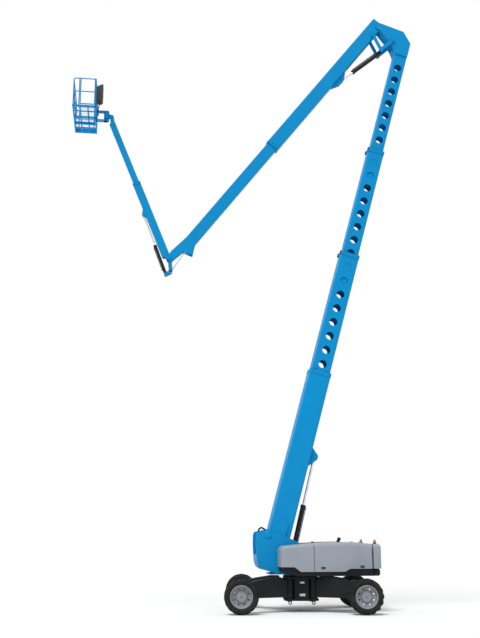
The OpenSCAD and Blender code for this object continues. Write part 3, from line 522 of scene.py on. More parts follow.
red_plastic = moulded_finish("stop_red", (0.55, 0.02, 0.015), roughness=0.3)
amber = moulded_finish("amber_lens", (0.75, 0.22, 0.01), roughness=0.18, grain=90.0)


def finish_of(name):
    """The finish of a CAD node, by its name."""
    if name.startswith("tyre"):
        return tyre_rubber
    if name.startswith("wheel_rim"):
        return rim_grey
    if name.endswith("_rod"):
        return chrome
    if name.endswith("_barrel"):
        return black_paint
    if "cover" in name or name == "counterweight":
        return grey
    if name in ("tail_fittings", "platform_console"):
        return black_plastic
    if name == "engine_and_tanks":
        return cast_iron
    if name.startswith(("chassis", "axle", "steering", "turntable_deck")):
        return charcoal
    return blue


for name, solid in nodes.items():
    solid.data.materials.clear()
    solid.data.materials.append(finish_of(name))


# Wheels

TYRE_R, TREAD_BARS = 0.5775, 16
BAR_START, BAR_LENGTH, BAR_MIDDLE, BAR_SLANT = -0.018, 0.226, 0.1, 0.445
BAR_ACROSS = np.array([-0.038, -0.031, -0.027, 0.027, 0.031, 0.038])
BAR_RISE = np.array([0.0, 0.86, 1.0, 1.0, 0.86, 0.0])
CROWN_DROP, SHOULDER_DROP, SHOULDER_FROM = 0.004, 0.05, 0.7


def carcass(at):
    """Tyre carcass turned about the axle: low crown, round shoulder, sidewall with a raised band, bead."""
    half = np.array([(0.5455, 0.0), (0.5448, 0.09), (0.541, 0.14), (0.53, 0.178), (0.508, 0.205),
                     (0.487, 0.2165), (0.483, 0.2195), (0.463, 0.2195), (0.459, 0.2165), (0.43, 0.2215),
                     (0.405, 0.212), (0.38, 0.19), (0.362, 0.158)])
    loop = np.vstack([half[::-1], half[1:] * (1, -1), half[-1:]])
    return lathe(loop, at, 96)


def tread_bars(at):
    """Tread bars: along a bar the angle leans with the height and the top drops over the shoulder; across
    it the flanks widen to the root. Two rings of bars stand half a pitch apart."""
    u = np.linspace(0, 1, 8)
    z = BAR_START + BAR_LENGTH * u
    lean = BAR_SLANT * (z - BAR_MIDDLE) / TYRE_R
    over = np.clip((u - SHOULDER_FROM) / (1 - SHOULDER_FROM), 0, 1)
    top = TYRE_R - CROWN_DROP * u ** 2 - SHOULDER_DROP * over ** 1.6
    root = np.interp(z, [0, 0.14, 0.178, 0.21], [0.538, 0.534, 0.52, 0.495])
    r = root[:, None] + (top - root)[:, None] * BAR_RISE
    angle = lean[:, None] + BAR_ACROSS / TYRE_R
    verts, faces = loft(np.stack([r * np.cos(angle), r * np.sin(angle), z[:, None] + 0 * r], -1))
    count = np.arange(TREAD_BARS)
    turn = 2 * np.pi / TREAD_BARS * np.concatenate([count, count + 0.5])[:, None]
    flip = np.repeat([1.0, -1.0], TREAD_BARS)[:, None]
    x, y, h = verts.T
    across, up = x * np.cos(turn) - y * np.sin(turn), x * np.sin(turn) + y * np.cos(turn)
    return spread(faces, world(np.stack([across, up, h * flip], -1), at))


def hub(corner, at):
    """Wheel centre: a domed cap on the hub, its ring of screws, the wheel nuts round it and the valve."""
    disc = face_height(f"wheel_rim_{corner}", at, 0.16, 0.3)
    spindle = points_of(f"steering_knuckle_{corner}", at)
    end = spindle[:, 2].max()
    near = spindle[spindle[:, 2] > end - 0.01]
    r = np.hypot(near[:, 0], near[:, 1]).max()
    dome = np.array([(0, 0.034), (0.3 * r, 0.034), (0.42 * r, 0.026), (0.5 * r, 0.012), (0.94 * r, 0.01),
                     (r + 0.004, 0), (r + 0.004, -0.02), (0, -0.02)])
    cap = lathe(dome + (0, end), at, 48)
    screws = bolts(around(0.72 * r, 8, end + 0.01), at, 0.008, 0.012)
    nuts = bolts(around(max(r + 0.045, 0.165), 10, disc), at, 0.016, 0.03)
    valve = bolts([(0.0, 0.27, disc)], at, 0.007, 0.05, 8)
    return cap, [screws, nuts, valve]


for corner in CORNERS:
    wheel, at = f"wheel_{corner}", wheel_place(corner)
    tread = piece(f"tread_{corner}", [carcass(at), tread_bars(at)], wheel, tyre_rubber, 35)
    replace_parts(tread, f"tyre_{corner}")
    cap, nuts = hub(corner, at)
    piece(f"hub_cap_{corner}", [cap], wheel, rim_grey)
    piece(f"wheel_nuts_{corner}", nuts, wheel, rim_grey)


# Chassis and riser

BLANK_PLATES = ((0.015, 0.97, 0.15, 0.06), (0.02, 0.57, 0.19, 0.08))
CHASSIS_BOLTS = [(x, z) for x in (-0.17, 0.17) for z in (0.52, 0.68, 0.84, 1.0)]
HOSE_GUIDE = ((-1.53, -0.36, 2.64), (-1.5, -0.365, 2.74), (-1.42, -0.37, 2.79), (-1.33, -0.375, 2.75),
              (-1.26, -0.39, 2.7))


def pin_caps(point, half, r):
    """Both ends of a cross pin: a stepped round plate with four screws."""
    profile = [(0, 0.016), (0.5 * r, 0.016), (0.56 * r, 0.011), (0.94 * r, 0.011), (r, 0.006), (r, -0.01),
               (0, -0.01)]
    parts = []
    for sign in (-1, 1):
        at = place(point + sign * half * SIDE, -sign * BACK, UP)
        parts += [lathe(profile, at, 40), bolts(around(0.76 * r, 4, 0.01, 0.7), at, 0.12 * r, 0.01)]
    return parts


def chassis_trim():
    """Blank plates on the chassis' near side, and two columns of bolt heads on both of its sides."""
    at = place((0, 0, 0), (1, 0, 0), (0, 1, 0))
    low, high = span("chassis_frame", at)
    centres = [(x, low[1] - 0.002, z) for x, z, _, _ in BLANK_PLATES]
    sizes = [(width, 0.008, height) for _, _, width, height in BLANK_PLATES]
    piece("chassis_plates", [blocks(centres, sizes, at, 0.002)], "chassis", plate_white)
    heads = [(x, z, high[1]) for x, z in CHASSIS_BOLTS]
    columns = [bolts(heads, side_place(at, sign), 0.014, 0.016) for sign in (-1, 1)]
    piece("chassis_bolts", columns, "chassis", charcoal)


def riser_trim():
    """Hose guide at the riser's front, and the caps of the boom's main pin."""
    piece("riser_hose_guide", [tube(world(HOSE_GUIDE, deck), 0.03)], "turntable", hose_rubber)
    half = half_width("turntable_riser", (pos("primary_lift"), deck[1]), -0.12, 0.12)
    piece("boom_pivot_caps", pin_caps(pos("primary_lift"), half, 0.13), "turntable", blue)


chassis_trim()
riser_trim()


# Covers

front_low, front_high = span("front_covers", deck)
lid_low, lid_high = span("engine_cover_left", deck)
tail_low, tail_high = span("counterweight", deck)
COVER_FRONT, COVER_SEAM, COVER_REAR, STRIP_REAR = front_low[0], lid_low[0], lid_high[0], front_high[0]
TAIL_FRONT, TAIL_END = tail_low[0], tail_high[0]
DECK_LOW, DECK_TOP = 1.194, 1.384
COVER_HALF, COVER_INNER, LID_INNER = front_high[1], 0.47, 0.59
SKIN, EDGE_R, NOSE_R, SEAM_GAP = 0.03, 0.13, 0.16, 0.004
CROWN_X, CROWN_Z, NOSE_DROP, TAIL_DROP = 1.34, 2.315, 0.14, 0.065
FOOT_X, FOOT_Z = (-0.42, -0.2, 1.32, 1.5), (1.49, 1.335, 1.335, 1.43)
EYE_X, EYE_L, EYE_R, LUG_T, TAB_L = (COVER_SEAM + 0.3, COVER_REAR - 0.3), 0.06, 0.016, 0.008, 0.06
LATCHES = ((COVER_SEAM + 0.32, 1.46), (COVER_REAR - 0.36, 1.5))
QUARTER = np.linspace(0, np.pi / 2, 9)
ARC_IN, ARC_UP = 1 - np.cos(QUARTER), 1 - np.sin(QUARTER)


def cover_top(x):
    """Height of the covers' crown: it falls from its peak as a power of the distance, ahead and behind."""
    ahead = np.clip(CROWN_X - x, 0, None) / (CROWN_X - COVER_FRONT)
    behind = np.clip(x - CROWN_X, 0, None) / (COVER_REAR - CROWN_X)
    return CROWN_Z - NOSE_DROP * ahead ** 1.5 - TAIL_DROP * behind ** 1.7


def cover_arch(x, inset, inner):
    """A cover's section at each place along it: up from its foot, over a round edge and in along the top;
    the nose draws the section in by a quarter circle."""
    into = np.clip(NOSE_R - (x - COVER_FRONT), 0, NOSE_R)
    draw = (NOSE_R - np.sqrt(NOSE_R ** 2 - into ** 2))[:, None]
    half, top = COVER_HALF - draw - inset, cover_top(x)[:, None] - draw - inset
    foot = np.interp(x, FOOT_X, FOOT_Z)[:, None]
    y = np.hstack([half, half - (EDGE_R - inset) * ARC_IN, 0 * half + inner])
    z = np.hstack([foot, top - (EDGE_R - inset) * ARC_UP, top])
    return np.stack([x[:, None] + 0 * y, y, z], -1)


def cover_block(x, inner):
    """A cover closed along its inner side: the arch, then down the inner wall to the foot."""
    arch = cover_arch(x, 0, inner)
    wall = arch[:, -1:] * (1, 1, 0) + arch[:, :1] * (0, 0, 1)
    return np.concatenate([arch, wall], 1)


def cover_lid(x):
    """A lid's skin: the arch outside and, one thickness in, the same arch back."""
    return np.concatenate([cover_arch(x, 0, LID_INNER), cover_arch(x, SKIN, LID_INNER)[:, ::-1]], 1)


def cover_strip(x):
    """The fixed strip beside a lid: an inner wall with a ledge just under the lid's top."""
    top = cover_top(x)[:, None] - SKIN
    foot, ledge, wall = 0 * top + DECK_TOP, LID_INNER - SEAM_GAP, COVER_INNER + SKIN
    y = np.array([COVER_INNER, COVER_INNER, ledge, ledge, wall, wall]) + 0 * top
    z = np.hstack([foot, top, top, top - SKIN, top - SKIN, foot])
    return np.stack([x[:, None] + 0 * y, y, z], -1)


def sided(sections, sign):
    """Sections on one side of the machine, as a closed part in its frame."""
    return loft(world(sections * (1, sign, 1), deck))


def stations(*stretches):
    """Places along a cover, in order and each once."""
    return np.unique(np.round(np.concatenate(stretches), 6))


def lid_hinge(x, hinge, sign):
    """One hinge of a lid: the lid's eye and tab, and the strip's two lugs with their pin."""
    top, (y, z) = cover_top(x), hinge[1:]
    middle, rise = (top - SKIN + z) / 2, z - top + SKIN
    eye = rod((x, y, z), (x + EYE_L, y, z), EYE_R, deck, 20)
    tab = blocks((x + EYE_L / 2, y + sign * TAB_L / 2, middle), (EYE_L, TAB_L, rise), deck)
    centres = [(x_lug, y, middle) for x_lug in (x - LUG_T, x + EYE_L + LUG_T)]
    lugs = blocks(centres, (LUG_T, 2 * EYE_R, rise + SKIN), deck, 0.001)
    pin = rod((x - 2 * LUG_T, y, z), (x + EYE_L + 2 * LUG_T, y, z), EYE_R / 2, deck, 20)
    return [eye, tab], [lugs, pin]


def cover_latches(side, sign):
    """Latches low on a lid's outer face: a plate with a pull."""
    plates = [(x, sign * (COVER_HALF + 0.002), z) for x, z in LATCHES]
    pulls = [(x, sign * (COVER_HALF + 0.009), z - 0.005) for x, z in LATCHES]
    parts = [blocks(plates, (0.15, 0.012, 0.075), deck), blocks(pulls, (0.10, 0.012, 0.04), deck)]
    piece(f"cover_latches_{side}", parts, f"cover_{side}", black_plastic)


def covers():
    """Both sides' fixed covers as one piece, and each side's lid with its end walls and hinges."""
    nose_x = COVER_FRONT + NOSE_R * ARC_IN
    front_x = stations(nose_x, np.linspace(nose_x[-1], COVER_SEAM - SEAM_GAP, 12), FOOT_X[:2])
    lid_x = stations(np.linspace(COVER_SEAM, COVER_REAR, 24), FOOT_X[2:])
    strip_x = np.linspace(COVER_SEAM - SKIN, STRIP_REAR, 24)
    fixed = []
    for side, sign in (("left", -1), ("right", 1)):
        hinge = local(pos(f"engine_cover_{side}_lift"), deck)
        fixed += [sided(cover_block(front_x, COVER_INNER), sign), sided(cover_strip(strip_x), sign)]
        lid = [sided(cover_lid(lid_x), sign)]
        for x0 in (COVER_SEAM, COVER_REAR - SKIN):
            lid.append(sided(cover_block(np.array([x0, x0 + SKIN]), LID_INNER), sign))
        for x in EYE_X:
            on_lid, on_strip = lid_hinge(x, hinge, sign)
            lid += on_lid
            fixed += on_strip
        made = piece(f"engine_lid_{side}", lid, f"cover_{side}", grey, 35)
        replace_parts(made, f"engine_cover_{side}")
        cover_latches(side, sign)
    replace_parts(piece("side_covers", fixed, "turntable", grey, 35), "front_covers")


covers()


# Tail and deck

TAIL_R, TAIL_FOOT, NOTCH_FLOOR, SKIRT_INSET, SKIRT_BEVEL = 0.14, 1.43, 1.6, 0.06, 0.05
DECK_INNER, DECK_SIDE, DECK_NOSE, RIM_T = 0.42, 1.165, 0.08, 0.05
LAMP_X, LAMP_Y, LAMP_R = TAIL_END - 0.16, COVER_HALF - 0.3, 0.06
STACK_X, STACK_Y, STACK_SINK, STACK_LEAN, STACK_R = 1.1, -1.02, 0.06, math.radians(24), 0.056
REAR_TOP = cover_top(COVER_REAR)


def tail_block(sign):
    """One side of the tail casting: a plan with a round outer corner, drawn in by a quarter circle at the
    top."""
    z = np.concatenate([[TAIL_FOOT], REAR_TOP - EDGE_R * ARC_UP])[:, None]
    draw = np.concatenate([[0], EDGE_R * ARC_IN])[:, None]
    r, end, half = TAIL_R - draw, TAIL_END - draw, COVER_HALF - draw
    front, inner = 0 * z + TAIL_FRONT, 0 * z + COVER_INNER
    x = np.hstack([front, end, end - r * ARC_IN, front])
    y = np.hstack([inner, inner, half - r * ARC_UP, half])
    return sided(np.stack([x, y, z + 0 * x], -1), sign)


def tail_casting():
    """Counterweight: a round-cornered block on each side and a bridge under the boom's notch."""
    centre = ((TAIL_FRONT + TAIL_END) / 2, 0, (TAIL_FOOT + NOTCH_FLOOR) / 2)
    bridge = blocks(centre, (TAIL_END - TAIL_FRONT, 2 * COVER_INNER + 0.02, NOTCH_FLOOR - TAIL_FOOT), deck)
    parts = [tail_block(-1), tail_block(1), bridge]
    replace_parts(piece("tail_casting", parts, "turntable", grey, 35), "counterweight")


def deck_trays():
    """Deck: a tray on each side with a cut front corner and a raised front, a rim under the lid's raised
    foot, and a skirt under the tail."""
    nose, nose_top, rim_top = COVER_FRONT + DECK_NOSE, FOOT_Z[0] + 0.005, TAIL_FOOT + 0.01
    tray = [(nose, DECK_LOW + 0.14), (nose + 0.47, DECK_LOW), (TAIL_FRONT, DECK_LOW), (TAIL_FRONT, DECK_TOP),
            (FOOT_X[1], DECK_TOP), (FOOT_X[0], nose_top), (nose, nose_top)]
    rim = [(FOOT_X[2] - 0.04, DECK_TOP), (FOOT_X[3], rim_top), (TAIL_FRONT, rim_top), (TAIL_FRONT, DECK_TOP)]
    parts = []
    for sign in (-1, 1):
        parts.append(prism(tray, sign * DECK_INNER, sign * DECK_SIDE, deck))
        parts.append(prism(rim, sign * (DECK_SIDE - RIM_T), sign * DECK_SIDE, deck))
    skirt_end = TAIL_END - SKIRT_INSET
    centre = ((TAIL_FRONT + skirt_end) / 2, 0, (DECK_LOW + TAIL_FOOT) / 2)
    size = (skirt_end - TAIL_FRONT, 2 * DECK_SIDE, TAIL_FOOT - DECK_LOW)
    parts.append(blocks(centre, size, deck, SKIRT_BEVEL))
    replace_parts(piece("deck_trays", parts, "turntable", charcoal), "turntable_deck")


def tail_lamps():
    """Two lamps on the tail: a turned foot and a domed lens, with radii as shares of the foot's."""
    spots = [place(world((LAMP_X, s * LAMP_Y, REAR_TOP), deck), BACK, SIDE) for s in (-1, 1)]
    foot = [(0, 0.05), (0.75, 0.05), (0.8, 0.046), (1, 0.04), (1, -0.004), (0, -0.004)]
    lens = [(0, 0.142), (0.4, 0.141), (0.62, 0.134), (0.72, 0.12), (0.74, 0.1), (0.78, 0.096), (0.75, 0.09),
            (0.75, 0.048), (0, 0.048)]
    feet = [lathe(np.array(foot) * (LAMP_R, 1), at, 40) for at in spots]
    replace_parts(piece("lamp_feet", feet, "turntable", black_plastic), "tail_fittings")
    lenses = [lathe(np.array(lens) * (LAMP_R, 1), at, 40) for at in spots]
    piece("beacon_lenses", lenses, "turntable", amber)


def exhaust_stack():
    """Exhaust stack on the left lid: a leaning pipe with a rolled lip and an open mouth."""
    way = world((math.sin(STACK_LEAN), 0, math.cos(STACK_LEAN)), deck)
    foot = world((STACK_X, STACK_Y, cover_top(STACK_X) - STACK_SINK), deck)
    pipe = np.array([(0, 0), (0, 0.19), (0.008, 0.195), (0.008, 0.215), (0.003, 0.221), (-0.006, 0.221),
                     (-0.008, 0.21), (-0.008, 0.06), (-STACK_R, 0.06), (-STACK_R, 0), (0, 0)])
    turned = lathe(pipe + (STACK_R, 0), turn_place(foot, way), 48)
    piece("exhaust_stack", [turned], "cover_left", charcoal)


tail_casting()
deck_trays()
tail_lamps()
exhaust_stack()


# Booms

COLLAR_STEP, FIRST_HOLE, PLUG_R = 0.016, 0.59, 0.1465
SCREW_ROWS = np.array([-0.36, -0.12, 0.12, 0.36])
SECTIONS = (("primary_base", "primary_second", primary), ("primary_second", "primary_third", primary),
            ("primary_third", "primary_tip", primary), ("secondary_base", "secondary_tip", secondary),
            ("jib_base", "jib_tip", jib))
PIN_ENDS = (("knuckle_pin_caps", "secondary_lift", "primary_tip", "primary_tip", primary, 0.10),
            ("link_pin_caps", "link_primary_turn", "knuckle_link_primary", "primary_tip", primary, 0.07),
            ("arm_link_caps", "link_secondary_turn", "knuckle_link_secondary", "secondary_base", secondary,
             0.07),
            ("jib_pin_caps", "jib_lift", "secondary_tip", "secondary_tip", secondary, 0.07),
            ("elbow_pin_caps", "platform_level", "jib_tip", "jib_tip", jib, 0.06))


def collar_of(outer, at):
    """A boom section's collar: where it ends, its middle height, its depth and its half width."""
    p = points_of(outer, at)
    end = p[:, 0].max()
    p = p[p[:, 0] > end - 0.03]
    low, high = p[:, 2].min(), p[:, 2].max()
    return end, (low + high) / 2, high - low, np.abs(p[:, 1]).max()


def collar_screws(outer, at):
    """Screws on both sides of a boom section's collar, in a column."""
    end, middle, depth, half = collar_of(outer, at)
    rows = middle + depth * SCREW_ROWS
    columns = []
    for sign in (-1, 1):
        heads = [(-sign * (end - 0.09), z, half) for z in rows]
        columns.append(bolts(heads, side_place(at, sign), 0.016, 0.014))
    piece(f"{outer}_collar_screws", columns, outer, blue)


def wear_pads(outer, inner, at):
    """Slide pads at a collar's mouth: two on each side, and two above and below the inner section. Sections
    that slide carry pad adjusters on their front as well."""
    end, middle, depth, _ = collar_of(outer, at)
    p = points_of(inner, at)
    p = p[(p[:, 0] > end - 1.6) & (p[:, 0] < end + 0.8)]
    half, inner_depth = np.abs(p[:, 1]).max(), p[:, 2].max() - p[:, 2].min()
    x, both = end + 0.016, (-1, 1)
    sides = [(x, s * (half + 0.014), middle + k * inner_depth * 0.3) for s in both for k in both]
    ends = [(x, k * half * 0.5, middle + s * (inner_depth / 2 + 0.014)) for s in both for k in both]
    parts = [blocks(sides, (0.036, 0.02, 0.15), at), blocks(ends, (0.036, 0.13, 0.02), at)]
    if outer != "primary_base":
        front = middle + depth / 2 + 0.016
        spots = [(x, y, front) for x in (end - 0.03, end - 0.115) for y in (-0.19, 0.19)]
        parts.append(blocks(spots, (0.055, 0.08, 0.055), at))
    piece(f"{outer}_wear_pads", parts, outer, black_plastic)


def hole_plugs(outer, at):
    """Dished plates that close the first hole behind a collar, on both sides."""
    end, middle, _, half = collar_of(outer, at)
    dish = [(0, -0.003), (PLUG_R - 0.0045, -0.003), (PLUG_R, -0.007), (PLUG_R, -0.012), (0, -0.012)]
    plugs = []
    for sign in (-1, 1):
        centre = world((end - FIRST_HOLE, sign * (half - COLLAR_STEP), middle), at)
        plugs.append(lathe(dish, (centre, side_place(at, sign)[1]), 48))
    piece(f"{outer}_hole_plugs", plugs, outer, blue)


for outer, inner, at in SECTIONS:
    collar_screws(outer, at)
    if at is primary and outer != "primary_base":
        hole_plugs(outer, at)
    if at is primary:
        wear_pads(outer, inner, at)

for label, joint, solid, body, at, r in PIN_ENDS:
    near = points_of(solid, (pos(joint), at[1]))
    near = near[np.hypot(near[:, 0], near[:, 2]) < r + 0.03]
    piece(label, pin_caps(pos(joint), np.abs(near[:, 1]).max(), r), body, blue)


# Cylinders

PORT_FROM_BASE, PORT_FROM_MOUTH, PIPE_R, PIPE_GAP = 0.2, 0.11, 0.011, 0.012
FOLD_LENGTH = 2.127
fold_way = axis("fold_barrel_slide")
fold_base = pos("fold_rod_turn") + FOLD_LENGTH * fold_way
CYLINDERS = (("primary_lift_barrel", "lift_barrel", pos("lift_barrel_turn"), axis("lift_rod_slide"), -1),
             ("secondary_barrel", "fold_barrel", fold_base, -fold_way, -1),
             ("jib_barrel", "jib_barrel", pos("jib_barrel_turn"), axis("jib_rod_slide"), 1),
             ("level_barrel", "level_barrel", pos("level_barrel_turn"), axis("level_rod_slide"), -1))


def cylinder_trim(solid, base, along, normal):
    """A cylinder's fittings: gland ring at its mouth, two port blocks and the pipe that joins them."""
    p = points_of(solid, turn_place(base, along))
    reach = p[:, 2].max()
    mouth = p[p[:, 2] > reach - 0.05]
    r = np.hypot(mouth[:, 0], mouth[:, 1]).max()
    collar = [(0.7 * r, 0.001), (0.92 * r, 0.001), (r + 0.001, -0.006), (r + 0.003, -0.012),
              (r + 0.003, -0.045), (r + 0.001, -0.055), (0.7 * r, -0.055), (0.7 * r, 0.001)]
    gland = lathe(collar, turn_place(base + reach * along, along), 48)
    ports = (PORT_FROM_BASE, reach - PORT_FROM_MOUTH)
    route = [(ports[0], 0.7 * r), (ports[0] + 0.02, r + PIPE_GAP), (ports[0] + 0.09, r + PIPE_GAP),
             (ports[1] - 0.09, r + PIPE_GAP), (ports[1] - 0.02, r + PIPE_GAP), (ports[1], 0.7 * r)]
    pipe = tube([base + x * along + out * normal for x, out in route], PIPE_R, 6, 10)
    at = place(base, along, np.cross(normal, along))
    return [gland, pipe, blocks([(x, 0, r - 0.004) for x in ports], (0.06, 0.05, 0.03), at)]


for solid, body, base, along, sign in CYLINDERS:
    normal = sign * np.cross(along, SIDE)
    piece(f"{solid}_fittings", cylinder_trim(solid, base, along, normal), body, black_paint)


# Bellcrank

CRANK_IN, CRANK_OUT, CRANK_PIN_R, CRANK_EYE_R = 0.107, 0.137, 0.03, 0.088
CRANK_BACK = np.array([0.046, -0.503])


def bellcrank():
    """Bellcrank at the jib's foot: on each side a bar from the jib's pin to the levelling pin and one on to
    the jib cylinder's pin, with both pins between them."""
    at = (pos("jib_lift"), deck[1])
    crank_low = local(pos("jib_barrel_turn"), at)[[0, 2]]
    parts = []
    for sign in (-1, 1):
        layer = (sign * CRANK_IN, sign * CRANK_OUT)
        parts.append(strap((0, 0), CRANK_BACK, 0.062, *layer, at))
        parts.append(strap(CRANK_BACK, crank_low, 0.055, *layer, at))
        parts.append(strap((-0.001, 0), (0.001, 0), CRANK_EYE_R, *layer, at))
    for x, z in (crank_low, CRANK_BACK):
        parts.append(rod((x, -CRANK_OUT, z), (x, CRANK_OUT, z), CRANK_PIN_R, at, 24))
    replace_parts(piece("bellcrank_bars", parts, "bellcrank", blue), "jib_bellcrank")


bellcrank()


# Platform

edge_low, edge_high = span("platform_rails", platform)
LOW_X, HIGH_X, HALF_Y, FLOOR_Z = edge_low[0], edge_high[0], edge_high[1], edge_low[2]
DEPTH_X, MID_X = HIGH_X - LOW_X, (LOW_X + HIGH_X) / 2
TUBE_R, BEND_R, TOE_H, TOE_T, GATE_POST = 0.02, 0.12, 0.15, 0.006, -1.0
X0, X1 = LOW_X + TUBE_R, HIGH_X - TUBE_R
Y0, Y1 = edge_low[1] + TUBE_R, HALF_Y - TUBE_R
RAIL_Z = (0.395, edge_high[2] - TUBE_R)
HINGE_Z, HINGE_L = (0.1225, 0.6675), 0.06
BEAM, GRATE_H, GRATE_T, BEARERS, CROSSERS, GRATES, CROSS_RODS = 0.05, 0.014, 0.005, 2, 4, 20, 12
PLATE_T, PLATE_HALF, COLUMN_R, BOSS_R = 0.04, 0.1, 0.045, 0.1
COLUMN_Z = (FLOOR_Z - 0.06, FLOOR_Z + 0.346)
RUNNER_Y, RUNNER_W, RUNNER_H, RUNNER_LOW = 0.27, 0.06, 0.061, FLOOR_Z - 0.1


def upright(x, y, z0, z1, r=TUBE_R):
    """A round post of the platform."""
    return rod((x, y, z0), (x, y, z1), r, platform, up=BACK)


def platform_rails():
    """Top and middle rail bent round three corners, posts, and toe boards on the three closed sides."""
    parts = []
    for z in RAIL_Z:
        corners = [(GATE_POST, Y0, z), (X0, Y0, z), (X0, Y1, z), (X1, Y1, z), (X1, Y0, z)]
        parts.append(sweep(ring(TUBE_R, 16), world(bent(corners, BEND_R), platform)))
    posts = [(x, y) for x in (X0, X1) for y in (Y0 + BEND_R, Y0 / 3, Y1 / 3, Y1 - BEND_R)]
    posts += [(X0 + BEND_R, Y1), (X1 - BEND_R, Y1)]
    parts += [upright(x, y, FLOOR_Z, RAIL_Z[1]) for x, y in posts]
    parts += [upright(x, Y0, FLOOR_Z, RAIL_Z[1] + TUBE_R) for x in (GATE_POST, X1)]
    toe_z = FLOOR_Z + TOE_H / 2
    parts.append(blocks([(X0, 0, toe_z), (X1, 0, toe_z)], (TOE_T, Y1 - Y0, TOE_H), platform, 0.001))
    parts.append(blocks((MID_X, Y1, toe_z), (X1 - X0, TOE_T, TOE_H), platform, 0.001))
    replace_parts(piece("rail_tubes", parts, "platform", blue), "platform_rails")


def platform_gate():
    """Gate: two stiles, three rails and two hinge eyes with their tabs."""
    low, high = span("platform_gate", platform)
    x0, x1 = low[0] + TUBE_R, high[0] - TUBE_R
    parts = [upright(x, Y0, low[2], high[2]) for x in (x0, x1)]
    parts += [rod((x0, Y0, z), (x1, Y0, z), TUBE_R, platform) for z in (low[2] + TUBE_R, *RAIL_Z)]
    x, y, _ = local(pos("gate_swing"), platform)
    parts += [upright(x, y, z, z + HINGE_L, 0.022) for z in HINGE_Z]
    tabs = [((x + x1) / 2, (y + Y0) / 2, z + HINGE_L / 2) for z in HINGE_Z]
    parts.append(blocks(tabs, (abs(x - x1) + 0.02, abs(y - Y0) + 0.01, 0.04), platform))
    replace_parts(piece("gate_tubes", parts, "gate", blue), "platform_gate")


def spaced(low, length, count):
    """Places that split a length into equal bays."""
    return [low + i * length / (count + 1) for i in range(1, count + 1)]


def floor_grid():
    """Floor frame: edge beams, bearers and cross beams under a grating of thin bars and cross rods."""
    beam_z, under_z = FLOOR_Z - BEAM / 2, FLOOR_Z - (BEAM + GRATE_H) / 2
    under_h, rod_z = BEAM - GRATE_H, FLOOR_Z - GRATE_H - 0.002
    sets = [([(x, 0, beam_z) for x in (LOW_X + BEAM / 2, HIGH_X - BEAM / 2)], (BEAM, 2 * HALF_Y, BEAM)),
            ([(MID_X, y, beam_z) for y in (BEAM / 2 - HALF_Y, HALF_Y - BEAM / 2)], (DEPTH_X, BEAM, BEAM)),
            ([(x, 0, under_z) for x in spaced(LOW_X, DEPTH_X, BEARERS)], (BEAM, 2 * HALF_Y - BEAM, under_h)),
            ([(MID_X, y, under_z) for y in spaced(-HALF_Y, 2 * HALF_Y, CROSSERS)],
             (DEPTH_X - BEAM, BEAM, under_h))]
    parts = [blocks(centres, size, platform) for centres, size in sets]
    bars = [(x, 0, FLOOR_Z - GRATE_H / 2) for x in spaced(LOW_X, DEPTH_X, GRATES)]
    parts.append(blocks(bars, (GRATE_T, 2 * HALF_Y - BEAM, GRATE_H), platform, 0.001))
    parts += [rod((LOW_X + 0.02, y, rod_z), (HIGH_X - 0.02, y, rod_z), 0.0035, platform, 6)
              for y in np.linspace(0.1 - HALF_Y, HALF_Y - 0.1, CROSS_RODS)]
    return parts


def floor_bracket():
    """What carries the floor: two runners, a cross piece, and the bracket with the column it turns on."""
    runners = [(MID_X + 0.02, y, RUNNER_LOW + RUNNER_H / 2) for y in (-RUNNER_Y, RUNNER_Y)]
    ends = (COLUMN_Z[0], COLUMN_Z[1] - PLATE_T)
    plates = [(HIGH_X / 2, 0, z + PLATE_T / 2) for z in ends]
    web = (HIGH_X + PLATE_T / 2, 0, (COLUMN_Z[0] + COLUMN_Z[1]) / 2)
    parts = [blocks(runners, (DEPTH_X - 0.04, RUNNER_W, RUNNER_H), platform),
             blocks((HIGH_X - 0.04, 0, RUNNER_LOW + 0.0205), (0.08, 0.6, 0.041), platform),
             blocks(plates, (-HIGH_X, 2 * PLATE_HALF, PLATE_T), platform),
             blocks(web, (PLATE_T, 2 * PLATE_HALF, COLUMN_Z[1] - COLUMN_Z[0]), platform),
             upright(0, 0, *COLUMN_Z, COLUMN_R)]
    return parts + [upright(0, 0, z, z + PLATE_T, BOSS_R) for z in ends]


platform_rails()
platform_gate()
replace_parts(piece("floor_frame", floor_grid() + floor_bracket(), "platform", blue), "platform_floor")


# Console

BOX_X, BOX_Y, BOX_Z = (HIGH_X, HIGH_X + 0.24), (-0.83, -0.43), (0.25, 0.9)
BOX_SIDE = np.array([(0, 0.05), (0.06, 0), (0.18, 0), (0.24, 0.06), (0.24, 0.65), (0.18, 0.65), (0, 0.54)])
BRACKETS = [(HIGH_X - 0.01, y, z) for y in (-0.76, -0.5) for z in (RAIL_Z[0], 0.72)]
PANEL_WAY, PANEL_T = np.array([0.853, 0.0, 0.522]), 0.008
STICK = ((0, 0.082), (0.009, 0.08), (0.014, 0.07), (0.013, 0.058), (0.007, 0.05), (0.006, 0.03),
         (0.012, 0.024), (0.013, 0.018), (0.018, 0.014), (0.02, 0.006), (0.026, 0.002), (0.026, 0), (0, 0))
STOP_BUTTON = ((0, 0.034), (0.017, 0.033), (0.022, 0.028), (0.021, 0.02), (0.012, 0.017), (0.012, 0.004),
               (0.026, 0.003), (0.026, 0), (0, 0))
SWITCH_Y = (-0.13, -0.09, -0.05, -0.01, 0.03)
CONDUIT = ((-0.26, -0.6, 0.27), (-0.265, -0.6, 0.16), (-0.3, -0.57, 0.05), (-0.315, -0.45, -0.01),
           (-0.315, -0.25, -0.03), (-0.31, -0.1, -0.05))
CLIPS = ((-0.325, -0.45, -0.01), (-0.325, -0.25, -0.03))


